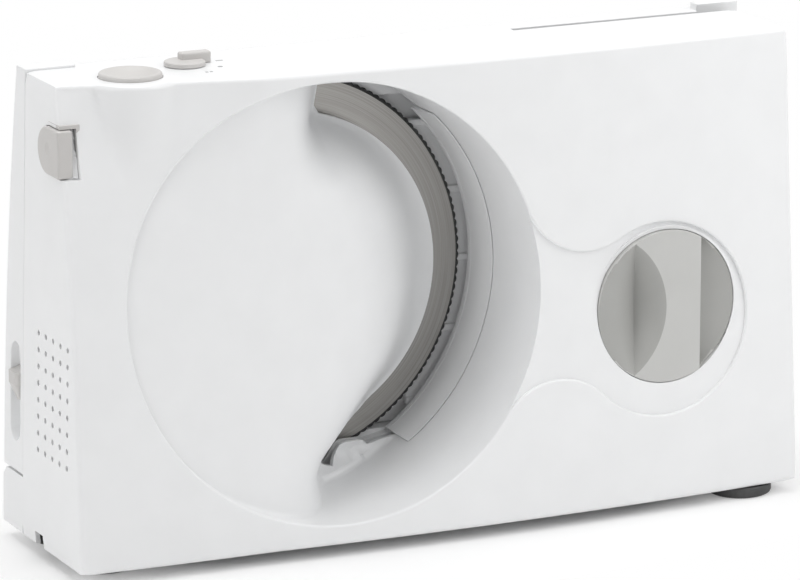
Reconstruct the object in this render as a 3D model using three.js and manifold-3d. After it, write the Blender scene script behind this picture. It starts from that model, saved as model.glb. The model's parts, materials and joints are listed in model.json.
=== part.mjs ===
// Folding electric food slicer, stood on its feet with the table folded up behind the blade.
// Lengths are millimetres. While it is built, zero is where the blade axis meets the cutting
// plane: x runs to the right along the housing, y away from the slice outlet, z up.

import * as THREE from 'three';
import { mergeVertices } from 'three/addons/utils/BufferGeometryUtils.js';
import Module from 'manifold-3d';

const wasm = await Module();
wasm.setup();

// Housing: the blade's radius and the room kept round it give its ends and edges
const BLADE_RADIUS = 85;
const ROOM_LEFT = 31.6;
const ROOM_RIGHT = 128;
const ROOM_ABOVE = 10.4;
const BASE_HEIGHT = 25.1;
const BASE_RISE = 10.6;
const HOUSING_LEFT = BLADE_RADIUS + ROOM_LEFT;
const HOUSING_RIGHT = BLADE_RADIUS + ROOM_RIGHT;
const HOUSING_ABOVE = BLADE_RADIUS + ROOM_ABOVE;
const BASE_TOP_Z = BASE_RISE - BLADE_RADIUS;
const HOUSING_BELOW = BASE_HEIGHT - BASE_TOP_Z;
const HOUSING_HEIGHT = HOUSING_BELOW + HOUSING_ABOVE;
const LEFT_DRAFT = 5;
const WALL = 2.5;
const GAP = 0.3;
const SEAM_Y = -3;
const FRONT_DEPTH = 66.4;
const FRONT_LEAN = 0.079;
const FRONT_BOW = 3.0e-4;
const BOW_CENTRE = 81.8;
const CORNER_START = -30;
const CORNER_TOP = 14.8;
const CORNER_FOOT = -4.4;
const CORNER_POWER = 2.6;

// Base under the folded table, and the set-back of the top behind the gauge plate
const BASE_REAR = 18.8;
const BASE_CHAMFER = 3.5;
const TOP_NOTCH_ROOM = 20;
const TOP_NOTCH_X = BLADE_RADIUS + TOP_NOTCH_ROOM;
const TOP_NOTCH_DEPTH = 8;

// Slice outlet: a round dish with the blade showing at its right
const DISH_ROOM = 6;
const DISH_RADIUS = BLADE_RADIUS + DISH_ROOM;
const RIM_STEP = 1.5;
const CRESCENT_WIDTH = 21.8;
const CRESCENT_RADIUS = DISH_RADIUS - CRESCENT_WIDTH;
const CRESCENT_Y = -7.8;
const CRESCENT_TOP_ANGLE = 79;
const CRESCENT_LOW_ANGLE = -55;
const CRESCENT_CORNER = 4;
const TIP_X = 14.2;
const TIP_RISE = 8.9;
const TIP_STEP = 2.8;
const FLOOR_POWER = 2.6;
const FLOOR_RINGS = [0.35, 0.6, 0.8, 1];
const FLOOR_SPOKES = 72;
const ROLL_SLOPE = 1.7;
const TONGUE_FROM_TIP = 6;
const TONGUE_DROP = 0.6;
const TONGUE_LENGTH = 8.4;
const TONGUE_SLOPE = [5.1, 2.4];
const TONGUE_STEP = 2;
const TONGUE_Y = -9.5;

// Thickness knob, the recess round it and the neck that joins that to the dish
const KNOB_FROM_DISH = 59;
const KNOB_X = DISH_RADIUS + KNOB_FROM_DISH;
const KNOB_Z = -16.4;
const KNOB_RADIUS = 32.6;
const KNOB_THICKNESS = 12;
const KNOB_GRIP_WIDTH = 15;
const KNOB_SCOOP_DEPTH = 7.5;
const KNOB_SCOOP_RADIUS = 24;
const KNOB_SCOOP_SHARE = 0.85;
const KNOB_PROUD = 0.6;
const RING_ASIDE = 2;
const RING_DROP = 5.1;
const RING_X = KNOB_X - RING_ASIDE;
const RING_Z = KNOB_Z - RING_DROP;
const RING_RADIUS = 41;
const NECK_FILLET = 30;
const RECESS_DEPTH = 1.6;
const SPINDLE_RADIUS = 5;
const SPINDLE_SPARE = 2;
const CLIP_RADIUS = 9;
const CLIP_THICKNESS = 1.6;

// Gauge plate: travel, guides and the flange that lines the right of the dish
const GAUGE_TRAVEL = 15;
const GAUGE_THICKNESS = 3;
const GAUGE_END_ROOM = 5;
const GAUGE_RIGHT = HOUSING_RIGHT - GAUGE_END_ROOM;
const GAUGE_SHOULDER_DROP = 20.8;
const GAUGE_SHOULDER_Z = BLADE_RADIUS - GAUGE_SHOULDER_DROP;
const GAUGE_TOP_ROOM = 7.4;
const GAUGE_TOP_Z = HOUSING_ABOVE - GAUGE_TOP_ROOM;
const GAUGE_LIFT = 0.8;
const FLANGE_OVERLAP = 6;
const FLANGE_THICKNESS = 1.5;
const NUT_RADIUS = 10;
const NUT_LENGTH = 26;
const GUIDE_END_ROOM = 18;
const GUIDE_X = GAUGE_RIGHT - GUIDE_END_ROOM;
const GUIDE_DROP = 28;
const GUIDE_UPPER_Z = GAUGE_TOP_Z - GUIDE_DROP;
const GUIDE_RISE = 19.4;
const GUIDE_LOWER_Z = BASE_TOP_Z + GUIDE_RISE;
const GUIDE_RADIUS = 4;
const GUIDE_SPARE = 2;

// Blade, its axle and the worm drive
const BLADE_THICKNESS = 1.2;
const TOOTH_COUNT = 150;
const TOOTH_DEPTH = 1.5;
const BLADE_SLOT = 2;
const AXLE_RADIUS = 4;
const HUB_RADIUS = 22;
const BUSH_RADIUS = 7;
const BUSH_LENGTH = 16;
const BLADE_SCREW_RADIUS = 10;
const BLADE_SCREW_HEAD = 1.5;
const BLADE_SCREW_SHANK = 2.2;
const BLADE_SCREW_LENGTH = 12;
const GEAR_MODULE = 1.25;
const WHEEL_TEETH = 44;
const WHEEL_FACE = 8;
const WHEEL_Y = -26.5;
const WORM_RADIUS = 6.5;
const WORM_LENGTH = 17;
const TOOTH_SHARE = 0.38;
const ADDENDUM = 0.85;
const DEDENDUM = 1.15;
const WHEEL_TIP_SHARE = 0.65;
const WHEEL_ROOT_SHARE = 1.35;
const THREAD_TIP_SHARE = 0.33;
const THREAD_ROOT_SHARE = 0.7;
const THREAD_ROOT = 1.4;
const REAR_WALL = 3;

// Motor on the worm shaft, from the fan at the vents to the worm beyond the blade axis
const SHAFT_RADIUS = 3;
const SHAFT_END_ROOM = 7.6;
const SHAFT_LEFT = SHAFT_END_ROOM - HOUSING_LEFT;
const FAN_FROM_END = 1;
const FAN_LEFT = SHAFT_LEFT + FAN_FROM_END;
const FAN_WIDTH = 7;
const FAN_RADIUS = 16;
const FAN_BLADES = 7;
const FAN_BLADE = 1.4;
const FAN_DISC = 1.2;
const STATOR_FROM_END = 31;
const STATOR_LEFT = SHAFT_LEFT + STATOR_FROM_END;
const STATOR_LENGTH = 28;
const STATOR_HALF = 19;
const STATOR_BORE = 11.9;
const STATOR_CORNER = 0.65;
const ARMATURE_RADIUS = 11.2;
const ARMATURE_INSET = 0.5;
const WINDING_SHARE = 0.8;
const COIL_WIDTH = 4;
const COIL_HEIGHT = 7;
const COIL_END = 4.5;
const COIL_CLEARANCE = 0.7;
const COMMUTATOR_RADIUS = 7;
const COMMUTATOR_FROM_END = 17.5;
const COMMUTATOR_LEFT = SHAFT_LEFT + COMMUTATOR_FROM_END;
const COMMUTATOR_LENGTH = 7.5;
const BRUSH_WIDTH = 5;
const BRUSH_LENGTH = 9;
const HOLDER_WALL = 1.5;
const HOLDER_STANDOFF = 2;
const BEARING_RADIUS = 7;
const BEARING_WIDTH = 5;
const BRACKET_WIDTH = 6;
const BRACKET_FROM_END = 10;
const BRACKET_FROM_STATOR = 8;
const BRACKET_FROM_WORM = 16.5;
const SHAFT_SPARE = 1;
const SHAFT_RIGHT = BRACKET_FROM_WORM + BRACKET_WIDTH + SHAFT_SPARE;
const BRACKET_REACH = 29;
const BRACKET_HALF = 10;
const BRUSH_BRACKET_HALF = 18;

// Controls on the top and on the left end
const ON_FROM_END = 39.6;
const ON_X = ON_FROM_END - HOUSING_LEFT;
const ON_Y = -30;
const ON_RADIUS = 13;
const ON_PROUD = 2;
const ON_HEIGHT = 9;
const ON_EDGE = 0.8;
const ON_CHAMFER = 1;
const ON_DISH = 0.5;
const ON_DISH_SHARE = 0.6;
const ON_TRAVEL = 3;
const ON_STEM_RADIUS = 4;
const ON_STEM_LENGTH = 12;
const ON_WELL_DEPTH = 15.4;
const BOSS_RADIUS = 20;
const ON_SWITCH_SIZE = [11, 28, 16];
const SELECTOR_FROM_ON = 28.4;
const SELECTOR_X = ON_X + SELECTOR_FROM_ON;
const SELECTOR_Y = -19;
const SELECTOR_RADIUS = 8.5;
const SELECTOR_DISC = 1.8;
const SELECTOR_BAR = [19, 6.5, 4.5];
const SELECTOR_TAPER = 0.8;
const SELECTOR_TAIL = 0.7;
const SELECTOR_SHAFT = 3;
const SELECTOR_SHAFT_LENGTH = 12;
const SELECTOR_SWITCH = [20, 20, 16];
const RELEASE_DROP = 26.9;
const RELEASE_Z = HOUSING_ABOVE - RELEASE_DROP;
const RELEASE_HEIGHT = 19.5;
const RELEASE_REAR_Y = -20.5;
const RELEASE_FRONT_Y = -42.5;
const RELEASE_PROUD = 1.6;
const RELEASE_THICKNESS = 4;
const RELEASE_TRAVEL = 2.2;
const RELEASE_STEM_RADIUS = 3;
const RELEASE_STEM_LENGTH = 15;
const RELEASE_SPRING_LENGTH = 9;
const SPRING_WIRE = 1;
const SPRING_TURNS = 4;

// Left end: vents and the cord outlet
const VENT_COLUMNS = 5;
const VENT_ROWS = 8;
const VENT_FIRST_Y = -19.5;
const VENT_PITCH_Y = 7.9;
const VENT_TOP_Z = -9.3;
const VENT_PITCH_Z = 7;
const VENT_RADIUS = 1.1;
const OUTLET_Y = -21.3;
const OUTLET_WIDTH = 8.6;
const OUTLET_HEIGHT = 6.5;

// Folding table, its hinge, the sliding carriage and the lock in its end
const TABLE_OVERHANG = 4;
const TABLE_RIGHT = HOUSING_RIGHT + TABLE_OVERHANG;
const TABLE_DROP = 0.8;
const TABLE_TOP_Z = HOUSING_ABOVE - TABLE_DROP;
const TABLE_LIFT = 0.9;
const TABLE_TAPER = 12;
const TABLE_TAPER_POWER = 2.5;
const TABLE_END_WALL = 10;
const TABLE_FACE_Y = 7.5;
const TABLE_SHALLOW_Y = 2.8;
const TABLE_SHALLOW_HEIGHT = 24.6;
const TABLE_SHALLOW_Z = TABLE_TOP_Z - TABLE_SHALLOW_HEIGHT;
const TABLE_RIM = 4.3;
const TABLE_RIM_Z = TABLE_TOP_Z - TABLE_RIM;
const TABLE_SOLID_HEIGHT = 54.6;
const TABLE_HOLLOW_TOP = TABLE_TOP_Z - TABLE_SOLID_HEIGHT;
const HUMP_WIDTH = 22;
const HUMP_HEIGHT = 1.8;
const TAB_WIDTH = 20;
const TAB_HEIGHT = 3;
const TAB_DEPTH = 6;
const HINGE_Y = 12.5;
const HINGE_DROP = 7.6;
const HINGE_Z = BASE_TOP_Z - HINGE_DROP;
const HINGE_RADIUS = 6;
const HINGE_PIN_RADIUS = 3;
const HINGE_LUG_WIDTH = 10;
const HINGE_END_ROOM = [16.6, 18];
const HINGE_LUG_LEFTS = [HINGE_END_ROOM[0] - HOUSING_LEFT, HOUSING_RIGHT - HINGE_END_ROOM[1]];
const HINGE_SLACK = 0.8;
const CARRIAGE_LENGTH = 128;
const CARRIAGE_END_ROOM = 23;
const CARRIAGE_LEFT = HOUSING_RIGHT - CARRIAGE_END_ROOM - CARRIAGE_LENGTH;
const CARRIAGE_RISE = 8.4;
const CARRIAGE_LOW_Z = BASE_TOP_Z + CARRIAGE_RISE;
const CARRIAGE_DROP = 12;
const CARRIAGE_HIGH_Z = TABLE_SHALLOW_Z - CARRIAGE_DROP;
const CARRIAGE_FACE_Y = 3.4;
const CARRIAGE_RIB = 1.2;
const CARRIAGE_RIBS = 5;
const RIB_SHARE = 0.1;
const RUNNER_INSET = 0.1;
const RAIL_RISE = 14;
const RAIL_Z = CARRIAGE_LOW_Z + RAIL_RISE;
const RAIL_NECK = 5;
const RAIL_FOOT = 9;
const RAIL_NECK_DEPTH = 2;
const RAIL_FOOT_DEPTH = 3;
const LATCH_Y = 5.9;
const LATCH_SLOT_WIDTH = 11;
const LATCH_SLOT_RISE = 13.7;
const LATCH_SLOT_LOW = BASE_TOP_Z + LATCH_SLOT_RISE;
const LATCH_SLOT_LENGTH = 41.7;
const LATCH_SLOT_TOP = LATCH_SLOT_LOW + LATCH_SLOT_LENGTH;
const LATCH_SLOT_DEPTH = 4;
const LATCH_BELOW_TOP = 11;
const LATCH_TOP = LATCH_SLOT_TOP - LATCH_BELOW_TOP;
const LATCH_HEIGHT = 13.5;
const LATCH_PROUD = 1.8;
const LATCH_THUMB = 0.3;

// Base cover, cord tray, feet and screws
const COVER_THICKNESS = 2.5;
const FOOT_RADIUS = 14;
const FOOT_HEIGHT = 5;
const FOOT_CHAMFER = 1.5;
const FOOT_STEM_RADIUS = 4;
const FOOT_STEM_LENGTH = 5;
const FOOT_END_ROOM = [20.6, 22];
const FOOT_LEFT_X = FOOT_END_ROOM[0] - HOUSING_LEFT;
const FOOT_RIGHT_X = HOUSING_RIGHT - FOOT_END_ROOM[1];
const FOOT_REAR_INSET = 2;
const FOOT_SET_BACK = 14.5;
const TRAY_END_ROOM = 44.6;
const TRAY_LENGTH = 32;
const TRAY_X = [TRAY_END_ROOM - HOUSING_LEFT, TRAY_END_ROOM - HOUSING_LEFT + TRAY_LENGTH];
const TRAY_Y = [-25.6, -8];
const TRAY_FLANGE = 3;
const TRAY_DEPTH = 10;
const TRAY_WALL = 2;
const GLAND_FROM_TRAY = 16;
const GLAND_X = TRAY_X[0] + GLAND_FROM_TRAY;
const GLAND_RADIUS = 4.6;
const GLAND_BORE = 3;
const GLAND_FLANGE = 1.5;
const SCREW_RADIUS = 1.4;
const SCREW_HEAD = 3;
const SCREW_HEAD_HEIGHT = 2;
const SCREW_LENGTH = 14;
const POST_RADIUS = 4;
const PAD_HEIGHT = 3;
const SCREW_END_ROOM = 15.6;
const SCREW_TOP_ROOM = 12.4;
const SCREW_LOW_ROOM = 8.4;
const SCREW_NOTCH_ROOM = 8;
const SCREW_SPREAD = 35;
const BASE_SCREW_END_ROOM = [37.6, 48];
const BASE_SCREW_LEFT_X = BASE_SCREW_END_ROOM[0] - HOUSING_LEFT;
const BASE_SCREW_RIGHT_X = HOUSING_RIGHT - BASE_SCREW_END_ROOM[1];
const BASE_SCREW_REAR_Y = 10.5;

// Joined pieces reach into each other by a lap, and cuts run past what they cut
const LAP = 1;
const OVERCUT = 5;
const CLEAR_AHEAD = 60;

// Values that follow from the sizes above
const REAR_WALL_FRONT = SEAM_Y - REAR_WALL;
const WORM_Y = WHEEL_Y;
const WHEEL_PITCH = (GEAR_MODULE * WHEEL_TEETH) / 2;
const WORM_Z = -(WHEEL_PITCH + WORM_RADIUS);
const GEAR_PITCH = Math.PI * GEAR_MODULE;
const TABLE_LOW_Z = BASE_TOP_Z + TABLE_LIFT;
const FLANGE_DEPTH = GAUGE_TRAVEL + FLANGE_OVERLAP;
const FLANGE_OUTER = DISH_RADIUS - GAP;
const FLANGE_INNER = FLANGE_OUTER - FLANGE_THICKNESS;
const FRONT_FAR = -FRONT_DEPTH - CLEAR_AHEAD;
const tipZ = TIP_RISE - Math.sqrt(DISH_RADIUS ** 2 - TIP_X ** 2);
const BRACKET_LEFTS = [
  SHAFT_LEFT + BRACKET_FROM_END, STATOR_LEFT + STATOR_LENGTH + BRACKET_FROM_STATOR, BRACKET_FROM_WORM,
];
const SCREW_HIGH_Z = HOUSING_ABOVE - SCREW_TOP_ROOM;
const HOUSING_SCREWS = [
  [SCREW_END_ROOM - HOUSING_LEFT, SCREW_HIGH_Z],
  [SCREW_END_ROOM - HOUSING_LEFT, BASE_TOP_Z + SCREW_LOW_ROOM],
  [TOP_NOTCH_X - SCREW_NOTCH_ROOM - SCREW_SPREAD, SCREW_HIGH_Z],
  [TOP_NOTCH_X - SCREW_NOTCH_ROOM, SCREW_HIGH_Z],
];

const clamp = THREE.MathUtils.clamp;
const radians = THREE.MathUtils.degToRad;

// Materials, one for each finish
const finish = (colour, roughness, metalness = 0) =>
  new THREE.MeshStandardMaterial({ color: colour, roughness, metalness });
const whitePlastic = finish(0xeceded, 0.28);
const greyPlastic = finish(0xcdc8c5, 0.4);
const knobPlastic = finish(0xbebeba, 0.35);
const gearPlastic = finish(0xe6e0d0, 0.5);
const darkPlastic = finish(0x2c2d2e, 0.55);
const rubber = finish(0x4a4b4c, 0.85);
const bladeSteel = finish(0x96938e, 0.3, 1);
const steel = finish(0xb4b4b2, 0.35, 1);
const ironCore = finish(0x6f7275, 0.55, 0.8);
const copper = finish(0xb4673a, 0.4, 0.9);
const carbon = finish(0x232323, 0.8);
const bronze = finish(0xa9824c, 0.45, 0.9);

// Solids: closed meshes for cutting and joining

function toSolid(geometry) {
  const plain = geometry.clone();
  plain.deleteAttribute('normal');
  plain.deleteAttribute('uv');
  const merged = mergeVertices(plain, 1e-5);
  const index = merged.index.array;
  const kept = [];
  for (let i = 0; i < index.length; i += 3) {
    const [a, b, c] = [index[i], index[i + 1], index[i + 2]];
    if (a !== b && b !== c && c !== a) kept.push(a, b, c);
  }
  const vertProperties = new Float32Array(merged.attributes.position.array);
  if (signedVolume(vertProperties, kept) < 0) kept.reverse();
  const triVerts = new Uint32Array(kept);
  return new wasm.Manifold(new wasm.Mesh({ numProp: 3, vertProperties, triVerts }));
}

function signedVolume(points, index) {
  const [a, b, c] = [new THREE.Vector3(), new THREE.Vector3(), new THREE.Vector3()];
  let total = 0;
  for (let i = 0; i < index.length; i += 3) {
    a.fromArray(points, index[i] * 3);
    b.fromArray(points, index[i + 1] * 3);
    c.fromArray(points, index[i + 2] * 3);
    total += a.dot(b.cross(c)) / 6;
  }
  return total;
}

function toGeometry(solid) {
  const mesh = solid.getMesh();
  const geometry = new THREE.BufferGeometry();
  geometry.setAttribute('position', new THREE.BufferAttribute(new Float32Array(mesh.vertProperties), 3));
  geometry.setIndex(new THREE.BufferAttribute(new Uint32Array(mesh.triVerts), 1));
  geometry.computeVertexNormals();
  return geometry;
}

const join = (first, ...others) => others.reduce((sum, next) => sum.add(next), first);
const cut = (first, ...others) => others.reduce((rest, next) => rest.subtract(next), first);
const common = (first, second) => first.intersect(second);

function box([x0, x1], [y0, y1], [z0, z1]) {
  const geometry = new THREE.BoxGeometry(x1 - x0, y1 - y0, z1 - z0);
  geometry.translate((x0 + x1) / 2, (y0 + y1) / 2, (z0 + z1) / 2);
  return toSolid(geometry);
}

// Larger rounds get more sides
const sidesOf = (radius) => 4 * Math.round(1 + Math.sqrt(radius));

// A round bar along one axis; the centre's value on that axis isn't read
function rod(axis, radius, [x, y, z], [from, to], sides = sidesOf(radius)) {
  const geometry = new THREE.CylinderGeometry(radius, radius, to - from, sides);
  const middle = (from + to) / 2;
  if (axis === 'x') geometry.rotateZ(-Math.PI / 2).translate(middle, y, z);
  if (axis === 'y') geometry.translate(x, middle, z);
  if (axis === 'z') geometry.rotateX(Math.PI / 2).translate(x, y, middle);
  return toSolid(geometry);
}

const tube = (axis, outer, inner, centre, [from, to]) =>
  cut(
    rod(axis, outer, centre, [from, to]),
    rod(axis, inner, centre, [from - OVERCUT, to + OVERCUT]),
  );

// A flat outline pulled along one axis: points are (x, z) for y, (y, z) for x and (x, y) for z
function prism(axis, points, [from, to]) {
  const shape = new THREE.Shape(points.map(([u, v]) => new THREE.Vector2(u, v)));
  const geometry = new THREE.ExtrudeGeometry(shape, { depth: to - from, bevelEnabled: false });
  if (axis === 'x') {
    geometry.rotateX(Math.PI / 2).rotateZ(Math.PI / 2).translate(from, 0, 0);
  }
  if (axis === 'y') geometry.rotateX(Math.PI / 2).translate(0, to, 0);
  if (axis === 'z') geometry.translate(0, 0, from);
  return toSolid(geometry);
}

// A turned piece: the profile is (radius, place along the axis) and closes on itself
function turned(axis, profile, [x, y, z]) {
  const points = [...profile, profile[0]].map(([r, s]) => new THREE.Vector2(r, s));
  const widest = Math.max(...profile.map(([r]) => r));
  const geometry = new THREE.LatheGeometry(points, sidesOf(widest));
  if (axis === 'x') geometry.rotateZ(-Math.PI / 2).translate(0, y, z);
  if (axis === 'y') geometry.translate(x, 0, z);
  if (axis === 'z') geometry.rotateX(Math.PI / 2).translate(x, y, 0);
  return toSolid(geometry);
}

function arc([cx, cz], radius, fromAngle, toAngle, steps) {
  return Array.from({ length: steps + 1 }, (_, i) => {
    const angle = fromAngle + ((toAngle - fromAngle) * i) / steps;
    return [cx + radius * Math.cos(angle), cz + radius * Math.sin(angle)];
  });
}

const onRound = (radius, angle) => [radius * Math.cos(angle), radius * Math.sin(angle)];

// A stadium: a slot with round ends, standing up
function stadium(centre, width, low, high, steps = 8) {
  const r = width / 2;
  return [
    ...arc([centre, high - r], r, 0, Math.PI, steps),
    ...arc([centre, low + r], r, Math.PI, 2 * Math.PI, steps),
  ];
}

// A tube of a few sides swept round a helix, closed at both ends
function helix(axis, [x, y, z], radius, [from, to], turns, section, stepsPerTurn) {
  const steps = Math.round(turns * stepsPerTurn);
  const positions = [];
  const index = [];
  const count = section.length;
  for (let i = 0; i <= steps; i += 1) {
    const angle = (2 * Math.PI * i) / stepsPerTurn;
    const along = from + ((to - from) * i) / steps;
    for (const [outward, forward] of section) {
      const r = radius + outward;
      const [a, b, c] = [along + forward, r * Math.sin(angle), r * Math.cos(angle)];
      if (axis === 'x') positions.push(a, y + b, z + c);
      if (axis === 'z') positions.push(x + b, y + c, a);
    }
    for (let k = 0; i < steps && k < count; k += 1) {
      const [p, q] = [i * count + k, i * count + ((k + 1) % count)];
      index.push(p, q, p + count, q, q + count, p + count);
    }
  }
  for (let k = 1; k < count - 1; k += 1) {
    const last = steps * count;
    index.push(0, k + 1, k, last, last + k, last + k + 1);
  }
  const geometry = new THREE.BufferGeometry();
  geometry.setAttribute('position', new THREE.Float32BufferAttribute(positions, 3));
  geometry.setIndex(index);
  return toSolid(geometry);
}

function coilSpring(axis, centre, radius, [from, to]) {
  const wire = arc([0, 0], SPRING_WIRE / 2, 0, (2 * Math.PI * 4) / 5, 4);
  const ends = [from + SPRING_WIRE / 2, to - SPRING_WIRE / 2];
  return helix(axis, centre, radius, ends, SPRING_TURNS, wire, 8);
}

// The housing's form

const leftX = (z) => -HOUSING_LEFT + (LEFT_DRAFT * (z + HOUSING_BELOW)) / HOUSING_HEIGHT;

function frontY(x, z) {
  const across = clamp((CORNER_START - x) / (HOUSING_LEFT - LEFT_DRAFT + CORNER_START), 0, 1.2);
  const up = clamp((z + HOUSING_BELOW) / HOUSING_HEIGHT, 0, 1.2);
  const corner = CORNER_FOOT + (CORNER_TOP - CORNER_FOOT) * up ** CORNER_POWER;
  return -FRONT_DEPTH + FRONT_LEAN * z + FRONT_BOW * (x - BOW_CENTRE) ** 2 + across * corner;
}

// A block behind the curved front face, drawn in by an inset at its ends and by a depth at its front
function frontBlock({ inset = 0, depth = 0, rear, low, high }) {
  const columns = 11;
  const rows = Math.ceil((high - low) / 30);
  const positions = [];
  const index = [];
  for (const side of ['front', 'rear']) {
    for (let j = 0; j <= rows; j += 1) {
      const z = low + ((high - low) * j) / rows;
      const [x0, x1] = [leftX(z) + inset, HOUSING_RIGHT - inset];
      for (let i = 0; i <= columns; i += 1) {
        const x = x0 + ((x1 - x0) * i) / columns;
        positions.push(x, side === 'front' ? frontY(x, z) + depth : rear, z);
      }
    }
  }
  const width = columns + 1;
  const layer = width * (rows + 1);
  const quad = (a, b, c, d) => index.push(a, b, c, a, c, d);
  for (let j = 0; j < rows; j += 1) {
    for (let i = 0; i < columns; i += 1) {
      const a = j * width + i;
      quad(a, a + 1, a + width + 1, a + width);
      quad(layer + a, layer + a + width, layer + a + width + 1, layer + a + 1);
    }
    const [left, right] = [j * width, j * width + columns];
    quad(left, left + width, layer + left + width, layer + left);
    quad(right, layer + right, layer + right + width, right + width);
  }
  for (let i = 0; i < columns; i += 1) {
    const [low1, high1] = [i, rows * width + i];
    quad(low1, layer + low1, layer + low1 + 1, low1 + 1);
    quad(high1, high1 + 1, layer + high1 + 1, layer + high1);
  }
  const geometry = new THREE.BufferGeometry();
  geometry.setAttribute('position', new THREE.Float32BufferAttribute(positions, 3));
  geometry.setIndex(index);
  return toSolid(geometry);
}

// A straight block between the housing's two ends
function endToEnd(inset, depth, low, high) {
  const right = HOUSING_RIGHT - inset;
  return prism('y', [
    [leftX(low) + inset, low], [right, low], [right, high], [leftX(high) + inset, high],
  ], depth);
}

// The dish's floor: level with the front at its left, curving down to the blade at its right
function dishY(x, z) {
  const across = clamp((x + DISH_RADIUS) / (DISH_RADIUS + CRESCENT_RADIUS), 0, 1);
  const rim = frontY(x, z) + RIM_STEP;
  const floor = rim + (CRESCENT_Y - rim) * across ** FLOOR_POWER;
  return Math.max(floor, CRESCENT_Y - ROLL_SLOPE * besideCrescent(x, z));
}

// How far a place on the dish's floor lies from the crescent: its arc, its upper end or the straight
// edge that runs from the arc to the tip
function besideCrescent(x, z) {
  const place = new THREE.Vector2(x, z);
  const radius = place.length();
  const angle = Math.atan2(z, x);
  const top = radians(CRESCENT_TOP_ANGLE);
  const low = radians(CRESCENT_LOW_ANGLE);
  if (angle >= low && angle <= top) return Math.max(0, CRESCENT_RADIUS - radius);
  const [from, to] = z > 0
    ? [onRound(CRESCENT_RADIUS, top), onRound(DISH_RADIUS, top)]
    : [onRound(CRESCENT_RADIUS, low), [TIP_X, tipZ]];
  const start = new THREE.Vector2(...from);
  const edge = new THREE.Vector2(...to).sub(start);
  const offset = place.sub(start);
  if (z < 0 && x > TIP_X && edge.cross(offset) > 0) return 0;
  const along = clamp(offset.dot(edge) / edge.lengthSq(), 0, 1);
  return offset.addScaledVector(edge, -along).length();
}

// What lies in front of the dish's floor, out to a radius
function dishBlock(radius, depth) {
  const radii = FLOOR_RINGS.map((share) => share * CRESCENT_RADIUS);
  radii.push((CRESCENT_RADIUS + radius) / 2, radius, radius);
  const rings = radii.length - 1;
  const spokes = FLOOR_SPOKES;
  const positions = [0, dishY(0, 0) + depth, 0, 0, FRONT_FAR, 0];
  const index = [];
  const at = (ring, spoke) => 2 + ring * spokes + (spoke % spokes);
  for (let ring = 0; ring <= rings; ring += 1) {
    const r = radii[ring];
    for (let spoke = 0; spoke < spokes; spoke += 1) {
      const angle = (2 * Math.PI * spoke) / spokes;
      const [x, z] = [r * Math.cos(angle), r * Math.sin(angle)];
      positions.push(x, ring < rings ? dishY(x, z) + depth : FRONT_FAR, z);
    }
  }
  for (let spoke = 0; spoke < spokes; spoke += 1) {
    index.push(0, at(0, spoke), at(0, spoke + 1), 1, at(rings, spoke + 1), at(rings, spoke));
    for (let ring = 0; ring < rings; ring += 1) {
      const [a, b] = [at(ring, spoke), at(ring, spoke + 1)];
      const [c, d] = [at(ring + 1, spoke), at(ring + 1, spoke + 1)];
      index.push(a, c, b, b, c, d);
    }
  }
  const geometry = new THREE.BufferGeometry();
  geometry.setAttribute('position', new THREE.Float32BufferAttribute(positions, 3));
  geometry.setIndex(index);
  return toSolid(geometry);
}

// The opening in which the blade shows, down to its tip
function crescentOutline(margin) {
  const inner = CRESCENT_RADIUS - margin;
  const outer = DISH_RADIUS + margin;
  const top = radians(CRESCENT_TOP_ANGLE);
  const low = radians(CRESCENT_LOW_ANGLE);
  const corner = CRESCENT_CORNER / CRESCENT_RADIUS;
  const [foot, ...crest] = tongueOutline(margin);
  return [
    onRound(inner + CRESCENT_CORNER, top),
    ...arc([0, 0], inner, top - corner, low, 18),
    [TIP_X - margin, tipZ - margin],
    [TIP_X + TIP_STEP, tipZ - TIP_STEP - margin],
    foot,
    ...crest,
    ...arc([0, 0], outer, gaugeAngles().low, top, 20),
  ];
}

// The upper edge of the tongue that guards the teeth at the crescent's tip, from left to right
function tongueOutline(margin) {
  const top = DISH_RADIUS * Math.sin(gaugeAngles().low) - TONGUE_DROP - margin;
  const foot = TIP_X + TONGUE_FROM_TIP + margin;
  const left = foot + TONGUE_SLOPE[0] + TONGUE_SLOPE[1];
  const right = left + TONGUE_LENGTH - margin;
  return [
    [foot, tipZ - TIP_STEP - TONGUE_DROP - margin],
    [foot + TONGUE_SLOPE[0], top - TONGUE_STEP / 2],
    [left, top],
    [right, top],
    [right + TONGUE_STEP, top - TONGUE_STEP],
  ];
}

// Where the gauge plate's edge beside the blade starts and ends, as angles round the blade axis
function gaugeAngles() {
  return {
    low: Math.asin((BASE_TOP_Z + GAUGE_LIFT) / FLANGE_INNER),
    high: Math.asin(GAUGE_SHOULDER_Z / FLANGE_INNER),
  };
}

function gaugeOutline(margin) {
  const { low, high } = gaugeAngles();
  const radius = FLANGE_INNER - margin;
  const shoulder = GAUGE_SHOULDER_Z + margin;
  const notch = TOP_NOTCH_X + GAP - margin;
  const bottom = BASE_TOP_Z + GAUGE_LIFT - margin;
  return [
    ...arc([0, 0], radius, low, high, 18),
    [radius * Math.cos(high), shoulder],
    [notch, shoulder],
    [notch, GAUGE_TOP_Z + margin],
    [GAUGE_RIGHT + margin, GAUGE_TOP_Z + margin],
    [GAUGE_RIGHT + margin, bottom],
    [radius * Math.cos(low), bottom],
  ];
}

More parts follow.
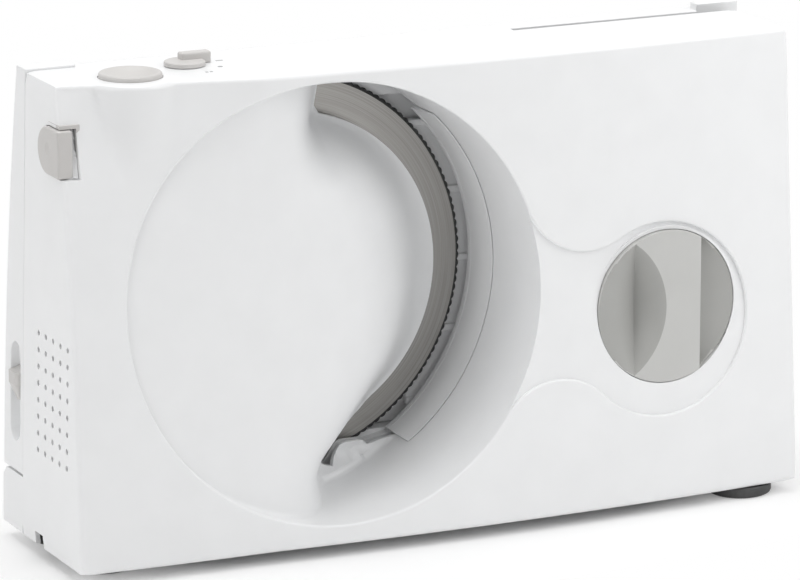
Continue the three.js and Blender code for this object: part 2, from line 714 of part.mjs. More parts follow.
// The neck between the dish and the knob's recess: two fillets that touch both circles
function neckOutline() {
  const dishReach = DISH_RADIUS + NECK_FILLET;
  const ringReach = RING_RADIUS + NECK_FILLET;
  const apart = Math.hypot(RING_X, RING_Z);
  const along = (apart ** 2 + dishReach ** 2 - ringReach ** 2) / (2 * apart);
  const across = Math.sqrt(dishReach ** 2 - along ** 2);
  const [ux, uz] = [RING_X / apart, RING_Z / apart];
  const fillet = (side, steps) => {
    const centre = [along * ux - side * across * uz, along * uz + side * across * ux];
    const toDish = Math.atan2(-centre[1], -centre[0]);
    const toRing = Math.atan2(RING_Z - centre[1], RING_X - centre[0]);
    const turn = Math.atan2(Math.sin(toRing - toDish), Math.cos(toRing - toDish));
    return arc(centre, NECK_FILLET, toDish, toDish + turn, steps);
  };
  return [...fillet(1, 10), ...fillet(-1, 10).reverse()];
}

const pieces = [];
const add = (body, name, solid, material) => pieces.push({ body, name, solid, material });

// Front housing

const knobFace = frontY(KNOB_X, KNOB_Z) - KNOB_PROUD;
const knobSeat = knobFace + KNOB_THICKNESS;
const bossLow = HOUSING_ABOVE - 2 * BOSS_RADIUS;
const onTop = HOUSING_ABOVE + ON_PROUD;
const wellFloor = HOUSING_ABOVE - ON_WELL_DEPTH;
const onCentre = [ON_X, ON_Y, 0];
const selectorCentre = [SELECTOR_X, SELECTOR_Y, 0];
const releaseFace = leftX(RELEASE_Z) - RELEASE_PROUD;
const releaseInner = releaseFace + RELEASE_THICKNESS;
const releaseFloor = releaseInner + RELEASE_TRAVEL + GAP;
const releaseLow = RELEASE_Z - RELEASE_HEIGHT / 2;
const releaseHigh = RELEASE_Z + RELEASE_HEIGHT / 2;
const releaseStemY = (RELEASE_REAR_Y + RELEASE_FRONT_Y) / 2;
const releaseCentre = [0, releaseStemY, RELEASE_Z];
const guideSpots = [[GUIDE_X, GUIDE_UPPER_Z], [GUIDE_X, GUIDE_LOWER_Z]];
const guideDepth = (x, z) => frontY(x, z) + WALL;
const coverTop = COVER_THICKNESS - HOUSING_BELOW;
const baseScrewSpots = [BASE_SCREW_LEFT_X, BASE_SCREW_RIGHT_X].flatMap((x) => [
  [x, frontY(x, -HOUSING_BELOW) + WALL + POST_RADIUS],
  [x, BASE_SCREW_REAR_Y],
]);

function knobRecess(margin) {
  const depth = [FRONT_FAR, 0];
  const ring = rod('y', RING_RADIUS + margin, [RING_X, 0, RING_Z], depth);
  const behind = frontBlock({
    inset: -OVERCUT,
    depth: RECESS_DEPTH + margin,
    rear: BASE_REAR,
    low: -HOUSING_BELOW - OVERCUT,
    high: HOUSING_ABOVE + OVERCUT,
  });
  return cut(join(ring, prism('y', neckOutline(), depth)), behind);
}

function releasePocket(margin) {
  return box(
    [-HOUSING_LEFT - OVERCUT, releaseFloor + margin],
    [-FRONT_DEPTH, RELEASE_REAR_Y + GAP + margin],
    [releaseLow - GAP - margin, releaseHigh + GAP + margin],
  );
}

function hingePocket(left, margin) {
  const wall = HINGE_SLACK + margin;
  return box(
    [left - wall, left + HINGE_LUG_WIDTH + wall],
    [HINGE_Y - HINGE_RADIUS - wall, margin > 0 ? BASE_REAR : BASE_REAR + OVERCUT],
    [HINGE_Z - HINGE_RADIUS - wall, margin > 0 ? BASE_TOP_Z : BASE_TOP_Z + OVERCUT],
  );
}

function ventHoles() {
  const reach = [-HOUSING_LEFT - OVERCUT, -HOUSING_LEFT + LEFT_DRAFT + WALL + LAP];
  const holes = [];
  for (let column = 0; column < VENT_COLUMNS; column += 1) {
    for (let row = 0; row < VENT_ROWS; row += 1) {
      const y = VENT_FIRST_Y - VENT_PITCH_Y * column;
      const z = VENT_TOP_Z - VENT_PITCH_Z * row;
      holes.push(rod('x', VENT_RADIUS, [0, y, z], reach, 6));
    }
  }
  return holes;
}

function cordOutlet(reach) {
  const half = OUTLET_WIDTH / 2;
  const top = OUTLET_HEIGHT - HOUSING_BELOW;
  const arch = arc([OUTLET_Y, top - half], half, 0, Math.PI, 8);
  const low = -HOUSING_BELOW - OVERCUT;
  return prism('x', [[OUTLET_Y + half, low], ...arch, [OUTLET_Y - half, low]], reach);
}

function makeFrontHousing() {
  const boss = rod('z', BOSS_RADIUS, onCentre, [bossLow, HOUSING_ABOVE]);
  const outer = join(
    frontBlock({ rear: SEAM_Y, low: -HOUSING_BELOW, high: HOUSING_ABOVE }),
    endToEnd(0, [-FRONT_DEPTH / 2, BASE_REAR], -HOUSING_BELOW, BASE_TOP_Z),
    boss,
  );
  const inner = join(
    frontBlock({
      inset: WALL, depth: WALL, rear: REAR_WALL_FRONT,
      low: -HOUSING_BELOW - OVERCUT, high: HOUSING_ABOVE - WALL,
    }),
    endToEnd(WALL, [-FRONT_DEPTH / 2, BASE_REAR - WALL], -HOUSING_BELOW - OVERCUT, BASE_TOP_Z - WALL),
    endToEnd(WALL, [-FRONT_DEPTH / 2, OVERCUT], BASE_TOP_Z, HOUSING_ABOVE - WALL),
    rod(
      'z', BOSS_RADIUS - WALL, onCentre,
      [bossLow + WALL, HOUSING_ABOVE - WALL],
    ),
  );
  const collar = prism('y', crescentOutline(WALL), [FRONT_FAR, REAR_WALL_FRONT - GAP]);
  const cup = rod('y', KNOB_RADIUS + GAP + WALL, [KNOB_X, 0, KNOB_Z], [FRONT_FAR, knobSeat + WALL]);
  const well = rod('z', ON_RADIUS + GAP + WALL, onCentre, [wellFloor - WALL, HOUSING_ABOVE]);
  const guides = guideSpots.map(([x, z]) =>
    rod('y', GUIDE_RADIUS + GAP + WALL, [x, 0, z], [FRONT_FAR, SEAM_Y - FLANGE_DEPTH]));
  const posts = HOUSING_SCREWS.map(([x, z]) =>
    rod('y', POST_RADIUS, [x, 0, z], [FRONT_FAR, REAR_WALL_FRONT - GAP]));
  const basePosts = baseScrewSpots.map(([x, y]) =>
    rod('z', POST_RADIUS, [x, y, 0], [coverTop + PAD_HEIGHT + GAP, BASE_TOP_Z - WALL / 2]));
  const dish = cut(
    dishBlock(DISH_RADIUS + WALL, WALL),
    box([0, HOUSING_RIGHT], [REAR_WALL_FRONT - GAP, OVERCUT], [-HOUSING_BELOW, HOUSING_ABOVE]),
  );
  const backing = join(
    dish, knobRecess(WALL), collar, cup, well, releasePocket(WALL),
    ...guides, ...posts, ...basePosts, ...HINGE_LUG_LEFTS.map((left) => hingePocket(left, WALL)),
  );
  const notch = box(
    [TOP_NOTCH_X, HOUSING_RIGHT + OVERCUT],
    [SEAM_Y - TOP_NOTCH_DEPTH, SEAM_Y + OVERCUT],
    [HOUSING_ABOVE - 2 * WALL, HOUSING_ABOVE + OVERCUT],
  );
  const gaugeSpace = prism('y', gaugeOutline(GAP), [GAP - FLANGE_DEPTH, OVERCUT]);
  const chamfer = prism('x', [
    [BASE_REAR - BASE_CHAMFER - LAP, BASE_TOP_Z + LAP], [BASE_REAR + LAP, BASE_TOP_Z - BASE_CHAMFER - LAP],
    [BASE_REAR + LAP, BASE_TOP_Z + LAP],
  ], [-HOUSING_LEFT - LAP, HOUSING_RIGHT + LAP]);
  const screwDepth = REAR_WALL_FRONT - SCREW_LENGTH;
  const shell = cut(
    cut(outer, cut(inner, backing)),
    dishBlock(DISH_RADIUS, 0),
    prism('y', crescentOutline(0), [FRONT_FAR, OVERCUT]),
    gaugeSpace,
    chamfer,
    rod('y', BLADE_RADIUS + BLADE_SLOT, [0, 0, 0], [-BLADE_SLOT, BLADE_SLOT]),
    notch,
    knobRecess(0),
    rod('y', KNOB_RADIUS + GAP, [KNOB_X, 0, KNOB_Z], [FRONT_FAR, knobSeat]),
    rod('y', SPINDLE_RADIUS + GAP, [KNOB_X, 0, KNOB_Z], [knobSeat - OVERCUT, 0]),
    rod('z', ON_RADIUS + GAP, onCentre, [wellFloor, onTop]),
    rod('z', ON_STEM_RADIUS + GAP, onCentre, [wellFloor - OVERCUT, onTop]),
    rod('z', SELECTOR_SHAFT + GAP, selectorCentre, [HOUSING_ABOVE - 2 * WALL, onTop]),
    releasePocket(0),
    rod('x', RELEASE_STEM_RADIUS + GAP, releaseCentre, [releaseInner, releaseFloor + 2 * WALL]),
    ...ventHoles(),
    cordOutlet([-HOUSING_LEFT - OVERCUT, -HOUSING_LEFT + 2 * WALL]),
    ...guideSpots.map(([x, z]) => rod('y', GUIDE_RADIUS + GAP, [x, 0, z], [guideDepth(x, z), 0])),
    ...HOUSING_SCREWS.map(([x, z]) => rod('y', SCREW_RADIUS + GAP, [x, 0, z], [screwDepth, 0])),
    ...baseScrewSpots.map(([x, y]) =>
      rod('z', SCREW_RADIUS + GAP, [x, y, 0], [-HOUSING_BELOW, coverTop + PAD_HEIGHT + SCREW_LENGTH])),
    ...HINGE_LUG_LEFTS.map((left) => hingePocket(left, 0)),
    ...HINGE_LUG_LEFTS.map((left) =>
      rod('x', HINGE_PIN_RADIUS + GAP, [0, HINGE_Y, HINGE_Z], hingePinSpan(left, OVERCUT))),
  );
  return join(shell, makeTongue());
}

// The tongue stands up from the dish's wall, just in front of the blade
function makeTongue() {
  const crest = tongueOutline(0);
  const angles = [crest.at(-1), crest[0]].map(([x, z]) => Math.atan2(z, x));
  const seat = arc([0, 0], DISH_RADIUS + LAP, ...angles, 6);
  return prism('y', [...crest, ...seat], [TONGUE_Y, -BLADE_SLOT]);
}

function hingePinSpan(left, extra) {
  const reach = HINGE_SLACK + WALL + extra;
  return [left - reach, left + HINGE_LUG_WIDTH + reach];
}

add('housing', 'front_housing', makeFrontHousing(), whitePlastic);

// Rear wall: carries the blade axle, the motor and the switches

const motorCentre = [0, WORM_Y, WORM_Z];
const springSeat = releaseInner + RELEASE_STEM_LENGTH + RELEASE_SPRING_LENGTH;

function makeRearWall() {
  const depth = [REAR_WALL_FRONT, SEAM_Y];
  const high = HOUSING_ABOVE - WALL - GAP;
  const plate = common(
    endToEnd(WALL + GAP, depth, BASE_TOP_Z + 2 * GAP, high),
    box([-HOUSING_LEFT, TOP_NOTCH_X - GAP], [-FRONT_DEPTH, 0], [-HOUSING_BELOW, HOUSING_ABOVE]),
  );
  const beyond = cut(
    box([CRESCENT_RADIUS / 2, HOUSING_RIGHT], [-FRONT_DEPTH, 0], [-HOUSING_BELOW, GAUGE_SHOULDER_Z + GAP]),
    rod('y', DISH_RADIUS - OVERCUT, [0, 0, 0], [-FRONT_DEPTH - LAP, LAP]),
  );
  const boss = rod('y', BUSH_RADIUS + GAP + WALL, [0, 0, 0], [SEAM_Y - BUSH_LENGTH, SEAM_Y]);
  const cradle = [1, -1].map((side) => {
    const near = WORM_Z + side * (STATOR_HALF + GAP);
    const far = near + side * WALL;
    return box(
      [STATOR_LEFT, STATOR_LEFT + STATOR_LENGTH],
      [WORM_Y - STATOR_HALF / 2, SEAM_Y],
      [Math.min(near, far), Math.max(near, far)],
    );
  });
  const seat = box(
    [springSeat + GAP, springSeat + GAP + WALL],
    [releaseStemY - RELEASE_STEM_RADIUS - SPRING_WIRE, SEAM_Y],
    [RELEASE_Z - RELEASE_STEM_RADIUS - SPRING_WIRE, RELEASE_Z + RELEASE_STEM_RADIUS + SPRING_WIRE],
  );
  const through = [-FRONT_DEPTH, OVERCUT];
  const opened = cut(plate, prism('y', crescentOutline(0), through), beyond);
  return cut(
    join(opened, boss, ...cradle, seat),
    rod('y', BUSH_RADIUS + GAP, [0, 0, 0], through),
    ...HOUSING_SCREWS.map(([x, z]) => rod('y', SCREW_RADIUS + GAP, [x, 0, z], through)),
  );
}

add('housing', 'rear_wall', makeRearWall(), whitePlastic);

HOUSING_SCREWS.forEach(([x, z], i) => {
  const head = SEAM_Y + GAP;
  const screw = join(
    rod('y', SCREW_RADIUS, [x, 0, z], [REAR_WALL_FRONT - SCREW_LENGTH + LAP, head + LAP]),
    rod('y', SCREW_HEAD, [x, 0, z], [head, head + SCREW_HEAD_HEIGHT]),
  );
  add('housing', `housing_screw_${i + 1}`, screw, steel);
});

// Base cover with the cord tray, feet and screws

const footSpots = [
  ['front_left', FOOT_LEFT_X, frontY(FOOT_LEFT_X, -HOUSING_BELOW) + FOOT_RADIUS + FOOT_SET_BACK],
  ['front_right', FOOT_RIGHT_X, frontY(FOOT_RIGHT_X, -HOUSING_BELOW) + FOOT_RADIUS],
  ['rear_left', FOOT_LEFT_X, BASE_REAR - FOOT_REAR_INSET - FOOT_RADIUS],
  ['rear_right', FOOT_RIGHT_X, BASE_REAR - FOOT_REAR_INSET - FOOT_RADIUS],
];
const trayCeiling = TRAY_DEPTH - HOUSING_BELOW;
const glandCentre = [GLAND_X, (TRAY_Y[0] + TRAY_Y[1]) / 2, 0];

const outletHalf = OUTLET_WIDTH / 2;
const channelTop = OUTLET_HEIGHT - HOUSING_BELOW;
const channelY = [OUTLET_Y - outletHalf, OUTLET_Y + outletHalf];
const channelLeft = leftX(-HOUSING_BELOW) + WALL + 2 * GAP;
const grown = ([low, high], by) => [low - by, high + by];

// The outside of the cord's tray and of the channel that leads to it
function trayBlock(by, low, trayTop, channelHigh) {
  return join(
    box(grown(TRAY_X, by), grown(TRAY_Y, by), [low, trayTop]),
    box([channelLeft, TRAY_X[0]], grown(channelY, by), [low, channelHigh]),
  );
}

function makeBaseCover() {
  const edge = { inset: WALL + GAP, depth: WALL + GAP, rear: BASE_REAR - WALL - GAP };
  const plate = frontBlock({ ...edge, low: -HOUSING_BELOW, high: coverTop });
  const pads = baseScrewSpots.map(([x, y]) =>
    rod('z', POST_RADIUS, [x, y, 0], [-HOUSING_BELOW, coverTop + PAD_HEIGHT]));
  const body = join(plate, common(join(...pads), frontBlock({
    ...edge, low: -HOUSING_BELOW, high: BASE_TOP_Z - WALL,
  })));
  const low = -HOUSING_BELOW - OVERCUT;
  return cut(
    body,
    trayBlock(TRAY_WALL + GAP, low, 0, 0),
    box([-HOUSING_LEFT, TRAY_X[0]], grown(channelY, TRAY_WALL + GAP), [low, 0]),
    ...footSpots.map(([, x, y]) => rod('z', FOOT_STEM_RADIUS + GAP, [x, y, 0], [low, 0])),
    ...baseScrewSpots.map(([x, y]) => rod('z', SCREW_HEAD + GAP, [x, y, 0], [low, coverTop])),
    ...baseScrewSpots.map(([x, y]) => rod('z', SCREW_RADIUS + GAP, [x, y, 0], [low, 0])),
  );
}

// The tray is let into the cover from above and rests on it with a flange
function makeCordTray() {
  const flange = [coverTop + GAP, coverTop + GAP + TRAY_WALL];
  const low = -HOUSING_BELOW - OVERCUT;
  return cut(
    join(
      trayBlock(TRAY_WALL, -HOUSING_BELOW, trayCeiling + TRAY_WALL, channelTop + TRAY_WALL),
      trayBlock(TRAY_WALL + TRAY_FLANGE, flange[0], flange[1], flange[1]),
    ),
    box(TRAY_X, TRAY_Y, [low, trayCeiling]),
    box([-HOUSING_LEFT, TRAY_X[0] + LAP], channelY, [low, channelTop]),
    rod('z', GLAND_RADIUS + GAP, glandCentre, [low, BASE_TOP_Z]),
  );
}

add('housing', 'base_cover', makeBaseCover(), whitePlastic);
add('housing', 'cord_tray', makeCordTray(), whitePlastic);

for (const [place, x, y] of footSpots) {
  const top = -HOUSING_BELOW - GAP;
  const low = -HOUSING_BELOW - FOOT_HEIGHT;
  const foot = turned('z', [
    [0, -top - FOOT_STEM_LENGTH], [FOOT_STEM_RADIUS, -top - FOOT_STEM_LENGTH], [FOOT_STEM_RADIUS, -top],
    [FOOT_RADIUS, -top], [FOOT_RADIUS, -low - FOOT_HEIGHT / 3], [FOOT_RADIUS - FOOT_CHAMFER, -low], [0, -low],
  ].map(([r, s]) => [r, -s]), [x, y, 0]);
  add('housing', `foot_${place}`, foot, rubber);
}

baseScrewSpots.forEach(([x, y], i) => {
  const seat = coverTop - GAP;
  const screw = join(
    rod('z', SCREW_RADIUS, [x, y, 0], [seat - LAP, coverTop + PAD_HEIGHT + SCREW_LENGTH - LAP]),
    rod('z', SCREW_HEAD, [x, y, 0], [seat - SCREW_HEAD_HEIGHT, seat]),
  );
  add('housing', `base_screw_${i + 1}`, screw, steel);
});

const glandLow = trayCeiling - GAP - GLAND_FLANGE;
add('housing', 'cord_gland', cut(
  join(
    rod('z', GLAND_RADIUS, glandCentre, [glandLow, trayCeiling + 2 * TRAY_WALL]),
    rod('z', GLAND_RADIUS + GLAND_FLANGE, glandCentre, [glandLow, glandLow + GLAND_FLANGE]),
  ),
  rod('z', GLAND_BORE, glandCentre, [-HOUSING_BELOW, 0]),
), rubber);

// Blade, hub, axle and worm wheel, which turn together

const bladeFront = -BLADE_THICKNESS / 2;
const bladeRear = BLADE_THICKNESS / 2;
const axleRear = bladeRear;
const wheelFront = WHEEL_Y - WHEEL_FACE / 2;
const wheelRear = WHEEL_Y + WHEEL_FACE / 2;

function makeBlade() {
  const outline = Array.from({ length: TOOTH_COUNT * 2 }, (_, i) => {
    const angle = (Math.PI * i) / TOOTH_COUNT;
    const radius = i % 2 === 0 ? BLADE_RADIUS : BLADE_RADIUS - TOOTH_DEPTH;
    return [radius * Math.cos(angle), radius * Math.sin(angle)];
  });
  const bore = rod('y', AXLE_RADIUS + GAP, [0, 0, 0], [-OVERCUT, OVERCUT]);
  return cut(prism('y', outline, [bladeFront, bladeRear]), bore);
}

// The wheel's teeth lean by the worm's lead angle, so each row is turned a little with its y
function makeWormWheel() {
  const half = TOOTH_SHARE / 2;
  const tip = WHEEL_PITCH + GEAR_MODULE * ADDENDUM;
  const root = WHEEL_PITCH - GEAR_MODULE * DEDENDUM;
  const outline = [];
  for (let tooth = 0; tooth < WHEEL_TEETH; tooth += 1) {
    const middle = -Math.PI / 2 + (2 * Math.PI * (tooth + 0.5)) / WHEEL_TEETH;
    const [atTip, atRoot] = [half * WHEEL_TIP_SHARE, half * WHEEL_ROOT_SHARE];
    const flanks = [[root, -atRoot], [tip, -atTip], [tip, atTip], [root, atRoot]];
    for (const [radius, share] of flanks) {
      const angle = middle + (2 * Math.PI * share) / WHEEL_TEETH;
      outline.push([radius * Math.cos(angle), radius * Math.sin(angle)]);
    }
  }
  const shape = new THREE.Shape(outline.map(([u, v]) => new THREE.Vector2(u, v)));
  const geometry = new THREE.ExtrudeGeometry(shape, { depth: WHEEL_FACE, bevelEnabled: false });
  geometry.rotateX(Math.PI / 2).translate(0, wheelRear, 0);
  const lead = GEAR_PITCH / (2 * Math.PI * WORM_RADIUS);
  const place = geometry.attributes.position;
  const point = new THREE.Vector3();
  const axis = new THREE.Vector3(0, 1, 0);
  for (let i = 0; i < place.count; i += 1) {
    point.fromBufferAttribute(place, i);
    point.applyAxisAngle(axis, (-(point.y - WHEEL_Y) * lead) / WHEEL_PITCH);
    place.setXYZ(i, point.x, point.y, point.z);
  }
  return cut(toSolid(geometry), rod('y', AXLE_RADIUS + GAP, [0, 0, 0], [-FRONT_DEPTH, 0]));
}

add('blade', 'blade', makeBlade(), bladeSteel);
add('blade', 'worm_wheel', makeWormWheel(), gearPlastic);
add('blade', 'blade_axle', cut(
  rod('y', AXLE_RADIUS, [0, 0, 0], [wheelFront - LAP, axleRear]),
  rod('y', BLADE_SCREW_SHANK + GAP, [0, 0, 0], [axleRear - BLADE_SCREW_LENGTH - LAP, axleRear + LAP]),
), steel);
add('blade', 'blade_hub', tube(
  'y', HUB_RADIUS, AXLE_RADIUS + GAP, [0, 0, 0], [SEAM_Y + GAP, bladeFront - GAP],
), gearPlastic);
add('blade', 'blade_screw', join(
  rod('y', BLADE_SCREW_SHANK, [0, 0, 0], [axleRear - BLADE_SCREW_LENGTH, axleRear + LAP]),
  rod('y', BLADE_SCREW_RADIUS, [0, 0, 0], [axleRear + GAP, axleRear + GAP + BLADE_SCREW_HEAD]),
), greyPlastic);
add('housing', 'axle_bush', tube(
  'y', BUSH_RADIUS, AXLE_RADIUS + GAP, [0, 0, 0], [SEAM_Y - BUSH_LENGTH, SEAM_Y],
), bronze);

// Worm shaft with the motor's turning pieces

const threadTip = GEAR_PITCH * TOOTH_SHARE * THREAD_TIP_SHARE;
const threadRoot = GEAR_PITCH * TOOTH_SHARE * THREAD_ROOT_SHARE;
const wormThread = [
  [-GEAR_MODULE * THREAD_ROOT, -threadRoot],
  [GEAR_MODULE * ADDENDUM, -threadTip],
  [GEAR_MODULE * ADDENDUM, threadTip],
  [-GEAR_MODULE * THREAD_ROOT, threadRoot],
];

function makeWormShaft() {
  const turns = Math.floor(WORM_LENGTH / GEAR_PITCH / 2) * 2;
  const span = [(-turns * GEAR_PITCH) / 2, (turns * GEAR_PITCH) / 2];
  const coreSpan = [span[0] - GEAR_PITCH, span[1] + GEAR_PITCH];
  const core = rod('x', WORM_RADIUS - GEAR_MODULE * DEDENDUM, motorCentre, coreSpan);
  const thread = helix('x', motorCentre, WORM_RADIUS, span, turns, wormThread, 12);
  return join(rod('x', SHAFT_RADIUS, motorCentre, [SHAFT_LEFT, SHAFT_RIGHT]), core, thread);
}

function makeArmature() {
  const left = STATOR_LEFT + ARMATURE_INSET;
  const right = STATOR_LEFT + STATOR_LENGTH - ARMATURE_INSET;
  const winding = ARMATURE_RADIUS * WINDING_SHARE;
  return turned('x', [
    [SHAFT_RADIUS + GAP, left - COIL_END], [winding, left - COIL_END], [winding, left],
    [ARMATURE_RADIUS, left], [ARMATURE_RADIUS, right], [winding, right],
    [winding, right + COIL_END], [SHAFT_RADIUS + GAP, right + COIL_END],
  ], motorCentre);
}

function makeFan() {
  const hub = SHAFT_RADIUS + GAP + WALL;
  const blade = box(
    [FAN_LEFT, FAN_LEFT + FAN_WIDTH], [-FAN_BLADE / 2, FAN_BLADE / 2], [hub - LAP, FAN_RADIUS],
  );
  const blades = Array.from({ length: FAN_BLADES }, (_, i) =>
    blade.rotate([(360 * i) / FAN_BLADES, 0, 0]).translate(motorCentre));
  const disc = rod('x', FAN_RADIUS, motorCentre, [FAN_LEFT + FAN_WIDTH - FAN_DISC, FAN_LEFT + FAN_WIDTH]);
  const middle = rod('x', hub, motorCentre, [FAN_LEFT, FAN_LEFT + FAN_WIDTH]);
  const bore = rod('x', SHAFT_RADIUS + GAP, motorCentre, [FAN_LEFT - LAP, FAN_LEFT + FAN_WIDTH + LAP]);
  return cut(join(disc, middle, ...blades), bore);
}

add('motor', 'worm_shaft', makeWormShaft(), steel);
add('motor', 'armature', makeArmature(), ironCore);
add('motor', 'commutator', tube(
  'x', COMMUTATOR_RADIUS, SHAFT_RADIUS + GAP, motorCentre,
  [COMMUTATOR_LEFT, COMMUTATOR_LEFT + COMMUTATOR_LENGTH],
), copper);
add('motor', 'cooling_fan', makeFan(), darkPlastic);

// Motor's fixed pieces

const coilNear = STATOR_BORE + COIL_CLEARANCE;
const coilFar = coilNear + COIL_WIDTH;

function makeStator() {
  const span = [STATOR_LEFT, STATOR_LEFT + STATOR_LENGTH];
  const h = STATOR_HALF;
  const c = h * STATOR_CORNER;
  const outline = [[h, -c], [h, c], [c, h], [-c, h], [-h, c], [-h, -c], [-c, -h], [c, -h]];
  const pack = prism('x', outline.map(([y, z]) => [y + WORM_Y, z + WORM_Z]), span);
  const slots = [1, -1].map((side) => box(
    [span[0] - LAP, span[1] + LAP],
    side > 0 ? [WORM_Y, WORM_Y + coilFar + GAP] : [WORM_Y - coilFar - GAP, WORM_Y],
    [WORM_Z - COIL_HEIGHT - LAP - GAP, WORM_Z + COIL_HEIGHT + LAP + GAP],
  ));
  return cut(pack, rod('x', STATOR_BORE, motorCentre, [span[0] - LAP, span[1] + LAP]), ...slots);
}

function makeFieldCoil(side) {
  const up = (a, b) => [WORM_Z + side * a, WORM_Z + side * b].sort((p, q) => p - q);
  const [left, right] = [STATOR_LEFT - GAP, STATOR_LEFT + STATOR_LENGTH + GAP];
  const reach = [left - COIL_END, right + COIL_END];
  const endTurns = [[reach[0], left], [right, reach[1]]];
  const top = STATOR_HALF - COIL_WIDTH / 2;
  const legs = [1, -1].map((edge) => {
    const y = [WORM_Y + edge * coilNear, WORM_Y + edge * coilFar].sort((p, q) => p - q);
    const ends = endTurns.map((x) => box(x, y, up(1, top)));
    return join(box(reach, y, up(1, 1 + COIL_HEIGHT)), ...ends);
  });
  const bridges = endTurns.map((x) =>
    box(x, [WORM_Y - coilFar, WORM_Y + coilFar], up(top - COIL_WIDTH, top)));
  return join(...legs, ...bridges);
}

const brushX = COMMUTATOR_LEFT + COMMUTATOR_LENGTH / 2;
const sideName = (side) => (side > 0 ? 'upper' : 'lower');

function makeBrush(side, margin) {
  const half = BRUSH_WIDTH / 2 + margin;
  const near = COMMUTATOR_RADIUS + GAP - margin * OVERCUT;
  const far = COMMUTATOR_RADIUS + GAP + BRUSH_LENGTH + margin;
  const z = [WORM_Z + side * near, WORM_Z + side * far].sort((p, q) => p - q);
  return box([brushX - half, brushX + half], [WORM_Y - half, WORM_Y + half], z);
}

function makeBrushHolder(side) {
  const half = BRUSH_WIDTH / 2 + GAP + HOLDER_WALL;
  const near = COMMUTATOR_RADIUS + HOLDER_STANDOFF;
  const far = near + BRUSH_LENGTH;
  const z = [WORM_Z + side * near, WORM_Z + side * far].sort((p, q) => p - q);
  const left = BRACKET_LEFTS[0] + BRACKET_WIDTH + GAP;
  return cut(box([left, brushX + half], [WORM_Y - half, WORM_Y + half], z), makeBrush(side, GAP));
}

add('housing', 'stator', makeStator(), ironCore);
for (const side of [1, -1]) {
  add('housing', `field_coil_${sideName(side)}`, makeFieldCoil(side), copper);
  add('housing', `brush_${sideName(side)}`, makeBrush(side, 0), carbon);
  add('housing', `brush_holder_${sideName(side)}`, makeBrushHolder(side), darkPlastic);
}

['left', 'middle', 'right'].forEach((place, i) => {
  const left = BRACKET_LEFTS[i];
  const half = i === 0 ? BRUSH_BRACKET_HALF : BRACKET_HALF;
  const bearingX = [left + (BRACKET_WIDTH - BEARING_WIDTH) / 2, left + (BRACKET_WIDTH + BEARING_WIDTH) / 2];
  const front = REAR_WALL_FRONT - GAP - BRACKET_REACH;
  const plate = box(
    [left, left + BRACKET_WIDTH], [front, REAR_WALL_FRONT - GAP], [WORM_Z - half, WORM_Z + half],
  );
  const bore = rod('x', BEARING_RADIUS + GAP, motorCentre, [left - LAP, left + BRACKET_WIDTH + LAP]);
  add('housing', `bearing_bracket_${place}`, cut(plate, bore), darkPlastic);
  const bearing = tube('x', BEARING_RADIUS, SHAFT_RADIUS + GAP, motorCentre, bearingX);
  add('housing', `shaft_bearing_${place}`, bearing, bronze);
});

// Thickness knob, spindle and clip, which turn together

function makeKnob() {
  const centre = [KNOB_X, 0, KNOB_Z];
  const disc = rod('y', KNOB_RADIUS, centre, [knobFace, knobSeat - GAP]);
  const scoops = [1, -1].map((side) => {
    const x = KNOB_X + side * (KNOB_GRIP_WIDTH / 2 + KNOB_SCOOP_RADIUS * KNOB_SCOOP_SHARE);
    const y = knobFace + KNOB_SCOOP_DEPTH - KNOB_SCOOP_RADIUS;
    return rod('z', KNOB_SCOOP_RADIUS, [x, y, 0], [KNOB_Z - KNOB_RADIUS - LAP, KNOB_Z + KNOB_RADIUS + LAP]);
  });
  const socket = rod('y', SPINDLE_RADIUS + GAP, centre, [knobSeat - OVERCUT, knobSeat + LAP]);
  return cut(disc, ...scoops, socket);
}

const knobCentre = [KNOB_X, 0, KNOB_Z];
const clipFront = knobSeat + WALL + GAP;
add('knob', 'thickness_knob', makeKnob(), knobPlastic);
const spindleEnds = [knobSeat - OVERCUT + GAP, -GAUGE_TRAVEL - GAUGE_THICKNESS - SPINDLE_SPARE];
add('knob', 'adjuster_spindle', rod('y', SPINDLE_RADIUS, knobCentre, spindleEnds), steel);
add('knob', 'knob_clip', tube(
  'y', CLIP_RADIUS, SPINDLE_RADIUS + GAP, knobCentre, [clipFront, clipFront + CLIP_THICKNESS],
), steel);

// Gauge plate with its nut and guide pins

function makeGaugePlate() {
  const { low, high } = gaugeAngles();
  const plate = prism('y', gaugeOutline(0), [-GAUGE_THICKNESS, 0]);
  const band = [...arc([0, 0], FLANGE_INNER, low, high, 18), ...arc([0, 0], FLANGE_OUTER, high, low, 18)];
  return join(plate, prism('y', band, [-FLANGE_DEPTH, 0]));
}

const gaugeFront = -GAUGE_THICKNESS - GAP;
add('gauge', 'gauge_plate', makeGaugePlate(), whitePlastic);
add('gauge', 'gauge_nut', tube(
  'y', NUT_RADIUS, SPINDLE_RADIUS + GAP, knobCentre, [gaugeFront - NUT_LENGTH, gaugeFront],
), bronze);
['upper', 'lower'].forEach((place, i) => {
  const [x, z] = guideSpots[i];
  const tip = guideDepth(x, z) + GAUGE_TRAVEL + GUIDE_SPARE;
  add('gauge', `guide_pin_${place}`, rod('y', GUIDE_RADIUS, [x, 0, z], [tip, gaugeFront]), steel);
});

// Buttons, selector and their switches

